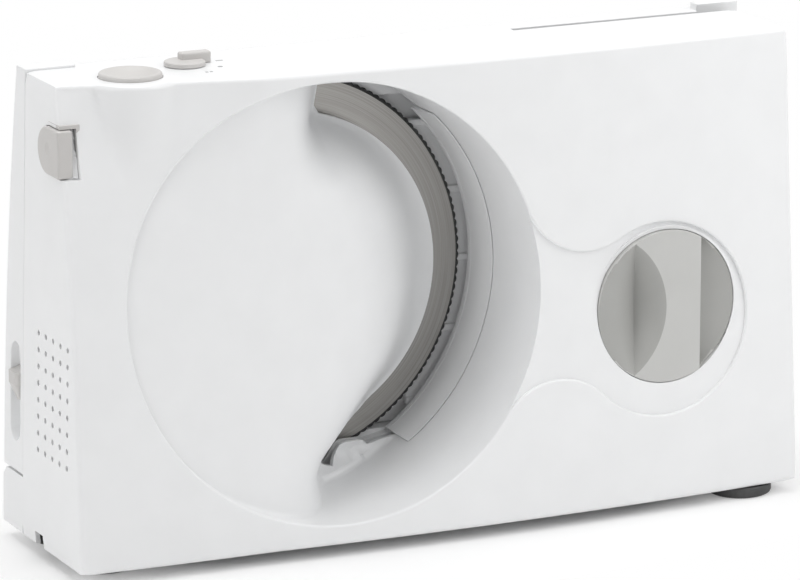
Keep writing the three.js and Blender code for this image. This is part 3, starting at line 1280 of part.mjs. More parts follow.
const onCapLow = onTop - ON_HEIGHT;
add('on_button', 'on_button', join(
  turned('z', [
    [0, onCapLow], [ON_RADIUS, onCapLow], [ON_RADIUS, onTop - ON_EDGE], [ON_RADIUS - ON_CHAMFER, onTop],
    [ON_RADIUS * ON_DISH_SHARE, onTop - ON_DISH], [0, onTop - ON_EDGE],
  ], onCentre),
  rod('z', ON_STEM_RADIUS, onCentre, [onCapLow - ON_STEM_LENGTH, onCapLow + LAP]),
), greyPlastic);
add('housing', 'on_button_spring', coilSpring(
  'z', onCentre, ON_STEM_RADIUS + GAP + 2 * SPRING_WIRE, [wellFloor + GAP, onCapLow - GAP],
), steel);

const switchTop = onCapLow - ON_STEM_LENGTH - ON_TRAVEL - GAP;
add('housing', 'on_switch', box(
  [ON_X - ON_SWITCH_SIZE[0] / 2, ON_X + ON_SWITCH_SIZE[0] / 2],
  [REAR_WALL_FRONT - GAP - ON_SWITCH_SIZE[1], REAR_WALL_FRONT - GAP],
  [switchTop - ON_SWITCH_SIZE[2], switchTop],
), darkPlastic);

function makeSelector() {
  const low = HOUSING_ABOVE + GAP;
  const top = low + SELECTOR_DISC;
  const [length, width, height] = SELECTOR_BAR;
  const tail = SELECTOR_X - SELECTOR_RADIUS * SELECTOR_TAIL;
  const bar = prism('x', [
    [SELECTOR_Y - width / 2, top - LAP], [SELECTOR_Y + width / 2, top - LAP],
    [SELECTOR_Y + width / 2 - SELECTOR_TAPER, top + height],
    [SELECTOR_Y - width / 2 + SELECTOR_TAPER, top + height],
  ], [tail, tail + length]);
  return join(
    rod('z', SELECTOR_RADIUS, selectorCentre, [low, top]),
    rod('z', SELECTOR_SHAFT, selectorCentre, [top - SELECTOR_SHAFT_LENGTH, top]),
    bar,
  );
}

const selectorSwitchTop = HOUSING_ABOVE - WALL - GAP;
add('selector', 'selector_knob', makeSelector(), greyPlastic);
add('housing', 'selector_switch', cut(
  box(
    [SELECTOR_X - SELECTOR_SWITCH[0] / 2, SELECTOR_X + SELECTOR_SWITCH[0] / 2],
    [SELECTOR_Y - SELECTOR_SWITCH[1] / 2, SELECTOR_Y + SELECTOR_SWITCH[1] / 2],
    [selectorSwitchTop - SELECTOR_SWITCH[2], selectorSwitchTop],
  ),
  rod('z', SELECTOR_SHAFT + GAP, selectorCentre, [HOUSING_ABOVE - SELECTOR_SHAFT_LENGTH, HOUSING_ABOVE]),
), darkPlastic);

function makeReleaseButton() {
  const r = RELEASE_HEIGHT / 2;
  const outline = [
    ...arc([RELEASE_REAR_Y - r, RELEASE_Z], r, -Math.PI / 2, Math.PI / 2, 12),
    [RELEASE_FRONT_Y, releaseHigh],
    [RELEASE_FRONT_Y, releaseLow],
  ];
  const stemEnd = releaseInner + RELEASE_STEM_LENGTH;
  return join(
    prism('x', outline, [releaseFace, releaseInner]),
    rod('x', RELEASE_STEM_RADIUS, releaseCentre, [releaseInner - LAP, stemEnd]),
  );
}

add('release', 'release_button', makeReleaseButton(), greyPlastic);
add('housing', 'release_spring', coilSpring(
  'x', releaseCentre, RELEASE_STEM_RADIUS,
  [releaseInner + RELEASE_STEM_LENGTH + GAP, springSeat],
), steel);

// Folding table, hinge pins, carriage and the lock in its end

const tableY = (z) => BASE_REAR - TABLE_TAPER * ((z + HOUSING_BELOW) / HOUSING_HEIGHT) ** TABLE_TAPER_POWER;
const tableFront = SEAM_Y + GAP;
const tableInnerLeft = TABLE_END_WALL - HOUSING_LEFT;
const tableInnerRight = TABLE_RIGHT - WALL * 2;

function tableProfile(front, inset, low, high) {
  const steps = 10;
  const back = Array.from({ length: steps + 1 }, (_, i) => {
    const z = low + ((high - low) * i) / steps;
    return [tableY(z) - inset, z];
  });
  return [[front, low], ...back, [front, high]];
}

function railOutline(margin) {
  const [neck, foot] = [RAIL_NECK / 2 + margin, RAIL_FOOT / 2 + margin];
  const shoulder = TABLE_FACE_Y + RAIL_NECK_DEPTH - margin;
  const end = TABLE_FACE_Y + RAIL_NECK_DEPTH + RAIL_FOOT_DEPTH + margin - GAP;
  const start = CARRIAGE_FACE_Y + CARRIAGE_RIB;
  return [
    [start, RAIL_Z - neck], [shoulder, RAIL_Z - neck], [shoulder, RAIL_Z - foot], [end, RAIL_Z - foot],
    [end, RAIL_Z + foot], [shoulder, RAIL_Z + foot], [shoulder, RAIL_Z + neck], [start, RAIL_Z + neck],
  ];
}

function makeTable() {
  const span = [-HOUSING_LEFT - OVERCUT, TABLE_RIGHT];
  const ends = prism('y', [
    [leftX(TABLE_LOW_Z), TABLE_LOW_Z], [TABLE_RIGHT, TABLE_LOW_Z],
    [TABLE_RIGHT, HOUSING_ABOVE + OVERCUT], [leftX(HOUSING_ABOVE), HOUSING_ABOVE + OVERCUT],
  ], [-OVERCUT, BASE_REAR + OVERCUT]);
  const hump = box(
    [-HOUSING_LEFT, leftX(HOUSING_ABOVE) + HUMP_WIDTH], [tableFront, tableY(TABLE_TOP_Z)],
    [TABLE_TOP_Z - LAP, TABLE_TOP_Z + HUMP_HEIGHT],
  );
  const tab = box(
    [TABLE_RIGHT - TAB_WIDTH, TABLE_RIGHT], [tableFront, tableFront + TAB_DEPTH],
    [TABLE_TOP_Z - LAP, TABLE_TOP_Z + TAB_HEIGHT],
  );
  const panel = prism('x', tableProfile(tableFront, 0, TABLE_LOW_Z, TABLE_TOP_Z), span);
  const block = common(join(panel, hump, tab), ends);
  const hollow = prism(
    'x', tableProfile(TABLE_FACE_Y + WALL, WALL, TABLE_LOW_Z - OVERCUT, TABLE_HOLLOW_TOP),
    [tableInnerLeft, tableInnerRight],
  );
  const railHousing = box(
    span, [0, TABLE_FACE_Y + RAIL_NECK_DEPTH + RAIL_FOOT_DEPTH + WALL / 2],
    [RAIL_Z - RAIL_FOOT / 2 - GAP - WALL, RAIL_Z + RAIL_FOOT / 2 + GAP + WALL],
  );
  const lugs = HINGE_LUG_LEFTS.map((left) => {
    const x = [left, left + HINGE_LUG_WIDTH];
    return join(
      rod('x', HINGE_RADIUS, [0, HINGE_Y, HINGE_Z], x, 24),
      box(x, [HINGE_Y - HINGE_RADIUS, HINGE_Y + HINGE_RADIUS - GAP], [HINGE_Z, TABLE_LOW_Z + 4 * WALL]),
    );
  });
  const deep = box(
    [tableInnerLeft, tableInnerRight], [-OVERCUT, TABLE_FACE_Y], [TABLE_LOW_Z - OVERCUT, TABLE_SHALLOW_Z],
  );
  const shallow = box(
    [tableInnerLeft, tableInnerRight], [-OVERCUT, TABLE_SHALLOW_Y], [TABLE_LOW_Z, TABLE_RIM_Z],
  );
  const slot = prism(
    'x', stadium(LATCH_Y, LATCH_SLOT_WIDTH, LATCH_SLOT_LOW, LATCH_SLOT_TOP),
    [-HOUSING_LEFT - OVERCUT, leftX(LATCH_TOP) + LATCH_SLOT_DEPTH],
  );
  return cut(
    join(cut(block, cut(hollow, railHousing)), ...lugs),
    deep,
    shallow,
    prism('x', railOutline(GAP), [tableInnerLeft, tableInnerRight]),
    slot,
    ...HINGE_LUG_LEFTS.map((left) =>
      rod('x', HINGE_PIN_RADIUS + GAP, [0, HINGE_Y, HINGE_Z], [left - LAP, left + HINGE_LUG_WIDTH + LAP])),
  );
}

add('table', 'folding_table', makeTable(), whitePlastic);
['left', 'right'].forEach((place, i) => {
  const pin = rod('x', HINGE_PIN_RADIUS, [0, HINGE_Y, HINGE_Z], hingePinSpan(HINGE_LUG_LEFTS[i], 0));
  add('housing', `hinge_pin_${place}`, pin, steel);
});

function makeCarriage() {
  const x = [CARRIAGE_LEFT, CARRIAGE_LEFT + CARRIAGE_LENGTH];
  const plateY = [CARRIAGE_FACE_Y + CARRIAGE_RIB, TABLE_FACE_Y - GAP];
  const plate = box(x, plateY, [CARRIAGE_LOW_Z, CARRIAGE_HIGH_Z]);
  const pitch = (CARRIAGE_HIGH_Z - CARRIAGE_LOW_Z) / (CARRIAGE_RIBS - 1 + RIB_SHARE);
  const ribs = Array.from({ length: CARRIAGE_RIBS }, (_, i) => {
    const z = CARRIAGE_LOW_Z + pitch * i;
    return box(x, [CARRIAGE_FACE_Y, CARRIAGE_FACE_Y + 2 * CARRIAGE_RIB], [z, z + pitch * RIB_SHARE]);
  });
  const runnerX = [x[0] + CARRIAGE_LENGTH * RUNNER_INSET, x[1] - CARRIAGE_LENGTH * RUNNER_INSET];
  return join(plate, ...ribs, prism('x', railOutline(0), runnerX));
}

add('carriage', 'carriage', makeCarriage(), whitePlastic);

function makeSlideLatch() {
  const half = LATCH_SLOT_WIDTH / 2 - GAP;
  const z = [LATCH_TOP - LATCH_HEIGHT, LATCH_TOP];
  const floor = leftX(LATCH_TOP) + LATCH_SLOT_DEPTH - GAP;
  const face = leftX(LATCH_TOP) - LATCH_PROUD;
  const thumb = [face, z[0] + LATCH_HEIGHT * LATCH_THUMB];
  const outline = [thumb, [floor, z[0]], [floor, z[1]], [face + LATCH_PROUD, z[1]]];
  return prism('y', outline, [LATCH_Y - half, LATCH_Y + half]);
}

add('latch', 'slide_latch', makeSlideLatch(), greyPlastic);

// The assembly, grouped by what moves together, with zero at the middle of the footprint

const slicer = new THREE.Group();
slicer.name = 'food_slicer';
const bodies = new Map();
for (const { body, name, solid, material } of pieces) {
  if (!bodies.has(body)) {
    bodies.set(body, new THREE.Group());
    slicer.add(bodies.get(body));
  }
  const mesh = new THREE.Mesh(toGeometry(solid), material);
  mesh.name = name;
  bodies.get(body).add(mesh);
}
const extent = new THREE.Box3().setFromObject(slicer);
const middle = extent.getCenter(new THREE.Vector3());
slicer.position.set(-middle.x, -middle.y, -extent.min.z);

export default slicer;
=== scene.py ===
# %% [markdown]
# # A folding food slicer, dressed for its photograph
# The measured model comes first. It gives the bodies that move and a box for every part, so that each
# piece made here can be put where the real one is. Its own box is kept, to compare with at the end.

# %% Load the measured model
import json
import math
import bpy
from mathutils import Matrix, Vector

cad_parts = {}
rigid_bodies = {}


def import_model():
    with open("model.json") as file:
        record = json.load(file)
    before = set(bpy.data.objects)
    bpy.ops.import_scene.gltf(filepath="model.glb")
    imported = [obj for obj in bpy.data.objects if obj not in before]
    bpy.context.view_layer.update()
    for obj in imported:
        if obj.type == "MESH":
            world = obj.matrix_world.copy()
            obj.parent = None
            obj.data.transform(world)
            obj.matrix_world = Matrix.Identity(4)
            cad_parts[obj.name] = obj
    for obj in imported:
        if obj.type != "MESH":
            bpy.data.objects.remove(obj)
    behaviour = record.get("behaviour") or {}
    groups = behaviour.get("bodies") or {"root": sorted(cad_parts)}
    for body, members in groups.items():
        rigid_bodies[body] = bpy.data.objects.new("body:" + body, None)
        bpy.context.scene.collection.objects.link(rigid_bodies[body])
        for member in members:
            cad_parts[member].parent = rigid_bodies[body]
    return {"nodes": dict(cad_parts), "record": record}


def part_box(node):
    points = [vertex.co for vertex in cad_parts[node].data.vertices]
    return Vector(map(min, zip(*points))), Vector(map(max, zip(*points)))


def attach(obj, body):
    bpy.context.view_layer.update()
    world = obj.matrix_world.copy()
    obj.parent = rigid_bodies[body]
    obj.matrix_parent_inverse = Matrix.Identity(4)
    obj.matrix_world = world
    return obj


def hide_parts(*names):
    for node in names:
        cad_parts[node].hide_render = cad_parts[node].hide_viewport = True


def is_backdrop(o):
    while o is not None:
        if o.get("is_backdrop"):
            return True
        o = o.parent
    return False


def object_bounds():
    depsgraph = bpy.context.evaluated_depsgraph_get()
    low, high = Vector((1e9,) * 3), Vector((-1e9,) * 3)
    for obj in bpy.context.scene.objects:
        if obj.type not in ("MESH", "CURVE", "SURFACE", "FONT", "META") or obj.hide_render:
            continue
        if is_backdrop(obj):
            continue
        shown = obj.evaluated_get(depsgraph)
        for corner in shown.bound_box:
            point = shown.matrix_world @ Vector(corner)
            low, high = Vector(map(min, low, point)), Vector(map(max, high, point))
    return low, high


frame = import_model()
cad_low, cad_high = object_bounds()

blade_low, blade_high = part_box("blade")
ZERO = (blade_low + blade_high) / 2


def at(x, y, z):
    """A place in millimetres from the blade's centre, as a point of the scene."""
    return ZERO + Vector((x, y, z)) / 1000


print("the model's box in mm:", [round(1000 * s, 1) for s in cad_high - cad_low])

# %% [markdown]
# The camera stood low and to the left, far away with a long lens, so that the slicer's edges stay
# nearly parallel. Its place was worked out from the round outlet and the housing's edges. The picture
# is white all round, which comes from a floor and a world that are white to the camera. Wide, soft
# lamps above and in front give the broad, gentle shading of a studio table.

# %% Camera
CAMERA_AT = at(-837.8, -1876.5, 508.0)
CAMERA_WAY = Vector((0.4176, 0.8754, -0.2437))
bpy.ops.object.select_all(action="DESELECT")
bpy.ops.object.camera_add(location=CAMERA_AT)
camera = bpy.context.object
camera.name = "photo_camera"
camera.rotation_mode = "QUATERNION"
camera.rotation_quaternion = CAMERA_WAY.to_track_quat("-Z", "Y")
camera.data.sensor_width = 36
camera.data.lens = 227.9
camera.data.clip_start = 0.1
camera.data.clip_end = 20
bpy.context.scene.camera = camera
print("the camera is", round((CAMERA_AT - ZERO).length, 2), "m from the blade")

# %% World
scene = bpy.context.scene
scene.view_settings.view_transform = "Standard"


def to_camera(nodes, links):
    """One where the camera, a mirror or glass looks, and zero where only light arrives."""
    path = nodes.new("ShaderNodeLightPath")
    either = nodes.new("ShaderNodeMath")
    either.operation = "MAXIMUM"
    links.new(path.outputs["Is Camera Ray"], either.inputs[0])
    links.new(path.outputs["Is Glossy Ray"], either.inputs[1])
    both = nodes.new("ShaderNodeMath")
    both.operation = "MAXIMUM"
    links.new(either.outputs[0], both.inputs[0])
    links.new(path.outputs["Is Transmission Ray"], both.inputs[1])
    return both.outputs[0]


world = bpy.data.worlds.new("studio")
world.use_nodes = True
scene.world = world
nodes, links = world.node_tree.nodes, world.node_tree.links
nodes.clear()
room = nodes.new("ShaderNodeBackground")
room.inputs["Color"].default_value = (1, 1, 1, 1)
room.inputs["Strength"].default_value = 0.3
backdrop = nodes.new("ShaderNodeBackground")
backdrop.inputs["Color"].default_value = (1, 1, 1, 1)
backdrop.inputs["Strength"].default_value = 1
choose = nodes.new("ShaderNodeMixShader")
links.new(to_camera(nodes, links), choose.inputs[0])
links.new(room.outputs[0], choose.inputs[1])
links.new(backdrop.outputs[0], choose.inputs[2])
sky = nodes.new("ShaderNodeOutputWorld")
links.new(choose.outputs[0], sky.inputs["Surface"])
print("the room's light is", round(room.inputs["Strength"].default_value, 2), "of white")

# %% Floor
bpy.ops.object.select_all(action="DESELECT")
bpy.ops.mesh.primitive_plane_add(size=12, location=(0, 0, cad_low.z))
floor = bpy.context.object
floor.name = "studio_floor"
paper = bpy.data.materials.new("studio_paper")
paper.use_nodes = True
nodes, links = paper.node_tree.nodes, paper.node_tree.links
card = nodes["Principled BSDF"]
card.inputs["Base Color"].default_value = (0.98, 0.98, 0.98, 1)
card.inputs["Roughness"].default_value = 0.9
white = nodes.new("ShaderNodeEmission")
white.inputs["Strength"].default_value = 1
shape = nodes.new("ShaderNodeVectorMath")
shape.operation = "MULTIPLY"
shape.inputs[1].default_value = (0.4, 1, 1)
links.new(nodes.new("ShaderNodeTexCoord").outputs["Object"], shape.inputs[0])
away = nodes.new("ShaderNodeVectorMath")
away.operation = "LENGTH"
links.new(shape.outputs["Vector"], away.inputs[0])
fade = nodes.new("ShaderNodeMapRange")
fade.inputs["From Min"].default_value = 0.05
fade.inputs["From Max"].default_value = 0.11
links.new(away.outputs["Value"], fade.inputs["Value"])
shown = nodes.new("ShaderNodeMath")
shown.operation = "MULTIPLY"
links.new(fade.outputs["Result"], shown.inputs[0])
links.new(to_camera(nodes, links), shown.inputs[1])
sheet = nodes.new("ShaderNodeMixShader")
links.new(shown.outputs[0], sheet.inputs[0])
links.new(card.outputs[0], sheet.inputs[1])
links.new(white.outputs[0], sheet.inputs[2])
links.new(sheet.outputs[0], nodes["Material Output"].inputs["Surface"])
floor.data.materials.append(paper)
floor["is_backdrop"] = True
print("the floor lies at", round(1000 * cad_low.z, 1), "mm")


# %% Lamps
def lamp(name, place, aim, size, watts):
    """A round area lamp, as wide as size in metres, that looks from its place to its aim."""
    bpy.ops.object.light_add(type="AREA", location=place)
    light = bpy.context.object
    light.name = name
    light.data.shape = "DISK"
    light.data.size = size
    light.data.energy = watts
    light.rotation_mode = "QUATERNION"
    light.rotation_quaternion = (aim - place).to_track_quat("-Z", "Y")
    return light


lamp("top_softbox", at(-150, 150, 1300), at(0, 0, 0), 1.3, 12.5)
lamp("front_softbox", at(500, -450, 450), at(30, 0, 0), 0.6, 2.4)
lamp("left_fill", at(-1500, -600, 500), at(0, 0, 0), 1.2, 6)

# %% [markdown]
# The housing's front is one wide moulded face. It leans back a little, bows gently from end to end and
# draws back at its upper left corner, where the boss of the ON button swells out of it. These few
# curves are written once, in millimetres from the blade's centre, and all the front pieces follow them.

# %% The curves of the front
LEFT, RIGHT, BELOW, ABOVE = -116.6, 213.0, -99.5, 95.4
LEFT_DRAFT = 5.0
SEAM = -3.0
BOSS = (-77.0, -30.0, 20.0)


def clamp(value, low, high):
    return max(low, min(high, value))


def smooth_step(value, start, end):
    t = clamp((value - start) / (end - start), 0.0, 1.0)
    return t * t * (3 - 2 * t)


def left_edge(z):
    return LEFT + LEFT_DRAFT * (z - BELOW) / (ABOVE - BELOW)


def plain_front(x, z):
    """How far forward the plain moulded face lies at a place on it."""
    across = clamp((-30 - x) / 81.6, 0, 1.2)
    up = clamp((z - BELOW) / (ABOVE - BELOW), 0, 1.2)
    corner = -4.4 + 19.2 * up**2.6
    return -66.4 + 0.079 * z + 3.0e-4 * (x - 81.8) ** 2 + across * corner


def front(x, z, softness=2.5):
    """The moulded face with the button's boss melted into it."""
    face = plain_front(x, z)
    aside = abs(x - BOSS[0])
    if aside >= BOSS[2]:
        return face
    boss = BOSS[1] - math.sqrt(BOSS[2] ** 2 - aside**2)
    mix = clamp(0.5 + (face - boss) / (2 * softness), 0, 1)
    return face + (boss - face) * mix - softness * mix * (1 - mix)


print("front at the top, middle and foot:", [round(front(0, z), 1) for z in (ABOVE, 0, BELOW)])

# %% [markdown]
# Two round shapes meet in the face: the slice outlet and the recess of the thickness knob, joined by a
# neck with two hollow fillets. Their common outline is walked once as a list of points, and at each
# point the straight way outwards to the housing's rim is noted. A flat grid can then be wrapped between
# outline and rim, row by row, which keeps every face a tidy four-sided one and the shading calm.

# %% The keyhole outline of outlet and knob recess
DISH = 91.0
RING = (148.0, -21.5, 41.0)
NECK = 30.0
RECESS = 1.6


def keyhole(step):
    """Points round the outlet, the neck and the knob's recess, each with its outward direction."""
    apart = math.hypot(RING[0], RING[1])
    reach_dish, reach_ring = DISH + NECK, RING[2] + NECK
    along = (apart**2 + reach_dish**2 - reach_ring**2) / (2 * apart)
    across = math.sqrt(reach_dish**2 - along**2)
    ux, uz = RING[0] / apart, RING[1] / apart
    upper = (along * ux - across * uz, along * uz + across * ux)
    lower = (along * ux + across * uz, along * uz - across * ux)

    def walk(centre, radius, start, end, inward=False):
        count = max(4, round(abs(end - start) * radius / step))
        for i in range(count):
            angle = start + (end - start) * i / count
            c, s = math.cos(angle), math.sin(angle)
            sign = -1 if inward else 1
            yield (centre[0] + radius * c, centre[1] + radius * s, sign * c, sign * s)

    def angle_to(a, b):
        return math.atan2(b[1] - a[1], b[0] - a[0])

    ring = (RING[0], RING[1])
    dish_start = angle_to((0, 0), upper)
    dish_end = angle_to((0, 0), lower) + 2 * math.pi
    low_start = angle_to(lower, (0, 0))
    low_end = angle_to(lower, ring)
    ring_start = angle_to(ring, lower)
    ring_end = angle_to(ring, upper)
    up_start = angle_to(upper, ring)
    up_end = angle_to(upper, (0, 0))
    if ring_end <= ring_start:
        ring_end += 2 * math.pi
    if up_end >= up_start:
        up_end -= 2 * math.pi
    points = list(walk((0, 0), DISH, dish_start, dish_end))
    points += walk(lower, NECK, low_start, low_end, True)
    points += walk(ring, RING[2], ring_start, ring_end)
    points += walk(upper, NECK, up_start, up_end, True)
    return points


OUTLINE_STEP = 1.15
OUTLINE = keyhole(OUTLINE_STEP)
print("the keyhole outline has", len(OUTLINE), "points")

# %% From the outline out to the rim
CORNER = 2.4
EDGE = 2.2
LIP = 0.8


def rim_distance(x, z):
    """Below zero inside the housing's outline, which has rounded corners, and above zero outside it."""
    wide = max(left_edge(z) - x, x - RIGHT) + CORNER
    tall = max(z - ABOVE, BELOW - z) + CORNER
    return math.hypot(max(wide, 0), max(tall, 0)) + min(max(wide, tall), 0) - CORNER


def rim_normal(x, z, e=0.01):
    nx = rim_distance(x + e, z) - rim_distance(x - e, z)
    nz = rim_distance(x, z + e) - rim_distance(x, z - e)
    size = math.hypot(nx, nz)
    return nx / size, nz / size


def outward(x, z):
    """The way from a point of the outline to the rim: straight up or down between the two rounds."""
    if x < 0:
        dx, dz = x, z
    elif x > RING[0]:
        dx, dz = x - RING[0], z - RING[1]
    else:
        dx, dz = 0, z + 0.1 * x
    size = math.hypot(dx, dz)
    return dx / size, dz / size


def rim_start(x, z):
    """Where the way outwards meets the line at which the housing's edge begins to round."""
    dx, dz = outward(x, z)
    low, high = 0.0, 400.0
    for _ in range(40):
        middle = (low + high) / 2
        if rim_distance(x + dx * middle, z + dz * middle) < -EDGE:
            low = middle
        else:
            high = middle
    return x + dx * low, z + dz * low


RIM = [rim_start(x + LIP * nx, z + LIP * nz) for x, z, nx, nz in OUTLINE]
# One column of the grid runs exactly to each corner, so that no corner is cut off.
for corner_z in (ABOVE - EDGE, BELOW + EDGE):
    for corner in ((left_edge(corner_z) + EDGE, corner_z), (RIGHT - EDGE, corner_z)):
        nearest = min(range(len(RIM)), key=lambda i: math.dist(RIM[i], corner))
        RIM[nearest] = corner
rim_low, rim_high = [[round(v) for v in map(pick, zip(*RIM))] for pick in (min, max)]
print("the rim runs from", rim_low, "to", rim_high)

# %% [markdown]
# A wrapped grid: Blender's grid is added flat, and each of its vertices is moved to the place that its
# column and row stand for. Where the last column lands on the first one the doubles are merged, so the
# skin closes. Modelling this face by extruding it row by row would give the same net with more steps.

# %% Helpers for wrapped skins
def only(piece):
    """Selects this object and nothing else."""
    bpy.ops.object.select_all(action="DESELECT")
    piece.select_set(True)
    bpy.context.view_layer.objects.active = piece


def wrapped(name, columns, rows, place):
    """A grid whose vertex in column i and row j is moved to place(i, j), with doubles merged."""
    bpy.ops.object.select_all(action="DESELECT")
    bpy.ops.mesh.primitive_grid_add(x_subdivisions=columns, y_subdivisions=rows, size=2)
    skin = bpy.context.object
    skin.name = name
    for vertex in skin.data.vertices:
        i = round((vertex.co.x + 1) / 2 * columns)
        j = round((vertex.co.y + 1) / 2 * rows)
        vertex.co = place(i, j)
    bpy.ops.object.mode_set(mode="EDIT")
    bpy.ops.mesh.select_all(action="SELECT")
    bpy.ops.mesh.remove_doubles(threshold=2e-6)
    bpy.ops.object.mode_set(mode="OBJECT")
    return skin


def flip(piece):
    """Turns all of a piece's faces round."""
    only(piece)
    bpy.ops.object.mode_set(mode="EDIT")
    bpy.ops.mesh.select_all(action="SELECT")
    bpy.ops.mesh.flip_normals()
    bpy.ops.object.mode_set(mode="OBJECT")


def face_outwards(piece):
    """Turns the faces of a closed piece to its outside."""
    only(piece)
    bpy.ops.object.mode_set(mode="EDIT")
    bpy.ops.mesh.select_all(action="SELECT")
    bpy.ops.mesh.normals_make_consistent(inside=False)
    bpy.ops.object.mode_set(mode="OBJECT")


def face_front(piece):
    """Turns a skin's faces so that those in front look towards the viewer's side."""
    way = sum(p.normal.y * p.area for p in piece.data.polygons)
    if way > 0:
        flip(piece)


def apply_all(piece):
    """Makes a piece's modifiers part of its mesh."""
    only(piece)
    for modifier in list(piece.modifiers):
        bpy.ops.object.modifier_apply(modifier=modifier.name)


def thicken(piece, thickness):
    """Gives a skin a wall behind its shown side."""
    wall = piece.modifiers.new("wall", "SOLIDIFY")
    wall.thickness = thickness / 1000
    wall.offset = -1
    apply_all(piece)


def smooth(piece, degrees=35):
    """Smooth shading, with a crease where faces meet at more than an angle."""
    only(piece)
    bpy.ops.object.shade_smooth_by_angle(angle=math.radians(degrees))


def crisp(piece, degrees=35):
    """Smooth shading in which large flat faces keep their own direction beside rounded edges."""
    smooth(piece, degrees)
    even = piece.modifiers.new("even", "WEIGHTED_NORMAL")
    even.keep_sharp = True
    apply_all(piece)


def carve(piece, *tools, operation="DIFFERENCE"):
    """Cuts the tools' shapes out of a piece, or joins or intersects them, and throws the tools away."""
    for tool in tools:
        knife = piece.modifiers.new("cut", "BOOLEAN")
        knife.operation = operation
        knife.solver = "EXACT"
        knife.object = tool
    apply_all(piece)
    for tool in tools:
        bpy.data.objects.remove(tool, do_unlink=True)


def place_in_mesh(piece):
    """Leaves the object at the origin, with its place and size in its mesh."""
    only(piece)
    bpy.ops.object.transform_apply(location=True, rotation=True, scale=True)


# %% The housing's skin
FACE_ROWS = 26
EDGE_ROWS = 6
LIP_ROWS = 4
SIDE_ROWS = 7
HOUSING_WALL = 2.2


def skin_place(i, j):
    """From the outline over its lip, across the face, round the edge and back to the seam."""
    x, z, nx, nz = OUTLINE[i % len(OUTLINE)]
    if j <= 1:
        depth = RECESS if j == 0 else LIP
        return at(x, plain_front(x, z) + depth, z)
    j -= 1
    if j <= LIP_ROWS:
        turn = math.pi / 2 * j / LIP_ROWS
        out = LIP * (1 - math.cos(turn))
        depth = LIP * (1 - math.sin(turn))
        return at(x + out * nx, front(x, z) + depth, z + out * nz)
    j -= LIP_ROWS
    x, z = x + LIP * nx, z + LIP * nz
    end_x, end_z = RIM[i % len(OUTLINE)]
    if j <= FACE_ROWS:
        share = (j / FACE_ROWS) ** 1.25
        x, z = x + (end_x - x) * share, z + (end_z - z) * share
        return at(x, front(x, z), z)
    j -= FACE_ROWS
    mx, mz = rim_normal(end_x, end_z)
    y = front(end_x, end_z)
    if j <= EDGE_ROWS:
        turn = math.pi / 2 * j / EDGE_ROWS
        out, depth = EDGE * math.sin(turn), EDGE * (1 - math.cos(turn))
        return at(end_x + out * mx, y + depth, end_z + out * mz)
    j -= EDGE_ROWS
    share = j / SIDE_ROWS
    y = (y + EDGE) * (1 - share) + SEAM * share
    return at(end_x + EDGE * mx, y, end_z + EDGE * mz)


rows = 1 + LIP_ROWS + FACE_ROWS + EDGE_ROWS + SIDE_ROWS
housing = wrapped("housing_front", len(OUTLINE), rows, skin_place)
face_front(housing)
thicken(housing, HOUSING_WALL)
print("housing skin:", len(housing.data.polygons), "faces")

# %% [markdown]
# Holes are cut with tools, as on a drilling bench: a cylinder for the ON button's well, a round-ended
# block for the release button's pocket, forty small drills for the vents and a block for the cord's
# way out. Each tool is a primitive set at its place; the drills are one drill, copied. A prism is an
# outline filled with one face and pulled straight along an axis.

# %% Cutting tools
def cylinder(name, radius, ends, centre, axis, sides=64):
    """A round bar between two places along an axis; centre gives the other two places, all in mm."""
    middle = (ends[0] + ends[1]) / 2
    depth = abs(ends[1] - ends[0]) / 1000
    turn = {"x": (0, math.pi / 2, 0), "y": (math.pi / 2, 0, 0), "z": (0, 0, 0)}[axis]
    spot = {"x": (middle, *centre), "y": (centre[0], middle, centre[1]), "z": (*centre, middle)}[axis]
    bpy.ops.object.select_all(action="DESELECT")
    bpy.ops.mesh.primitive_cylinder_add(
        vertices=sides, radius=radius / 1000, depth=depth, location=at(*spot), rotation=turn)
    bar = bpy.context.object
    bar.name = name
    place_in_mesh(bar)
    return bar


def block(name, low, high):
    """A box between two corners, in mm."""
    low, high = at(*low), at(*high)
    bpy.ops.object.select_all(action="DESELECT")
    bpy.ops.mesh.primitive_cube_add(size=1, location=(low + high) / 2)
    box = bpy.context.object
    box.name = name
    box.scale = high - low
    place_in_mesh(box)
    return box


def prism(name, points, near, far, axis="y"):
    """A flat outline, filled and pulled along an axis; its points leave out that axis's own place."""
    bpy.ops.object.select_all(action="DESELECT")
    bpy.ops.mesh.primitive_circle_add(vertices=len(points), radius=1, fill_type="NGON")
    shape = bpy.context.object
    shape.name = name
    for vertex, (u, v) in zip(shape.data.vertices, points):
        spot = {"x": (near, u, v), "y": (u, near, v), "z": (u, v, near)}[axis]
        vertex.co = at(*spot)
    way = {"x": (1, 0, 0), "y": (0, 1, 0), "z": (0, 0, 1)}[axis]
    bpy.ops.object.mode_set(mode="EDIT")
    bpy.ops.mesh.select_all(action="SELECT")
    bpy.ops.mesh.extrude_region_move(
        TRANSFORM_OT_translate={"value": Vector(way) * (far - near) / 1000})
    bpy.ops.mesh.select_all(action="SELECT")
    bpy.ops.mesh.normals_make_consistent(inside=False)
    bpy.ops.object.mode_set(mode="OBJECT")
    return shape


def arc(centre, radius, start, end, steps):
    """Points on a round, between two angles in degrees."""
    angles = [math.radians(start + (end - start) * i / steps) for i in range(steps + 1)]
    return [(centre[0] + radius * math.cos(a), centre[1] + radius * math.sin(a)) for a in angles]


def joined(name, parts):
    """Several objects made into one, without changing their shapes."""
    bpy.ops.object.select_all(action="DESELECT")
    for part in parts:
        part.select_set(True)
    bpy.context.view_layer.objects.active = parts[0]
    if len(parts) > 1:
        bpy.ops.object.join()
    parts[0].name = name
    return parts[0]


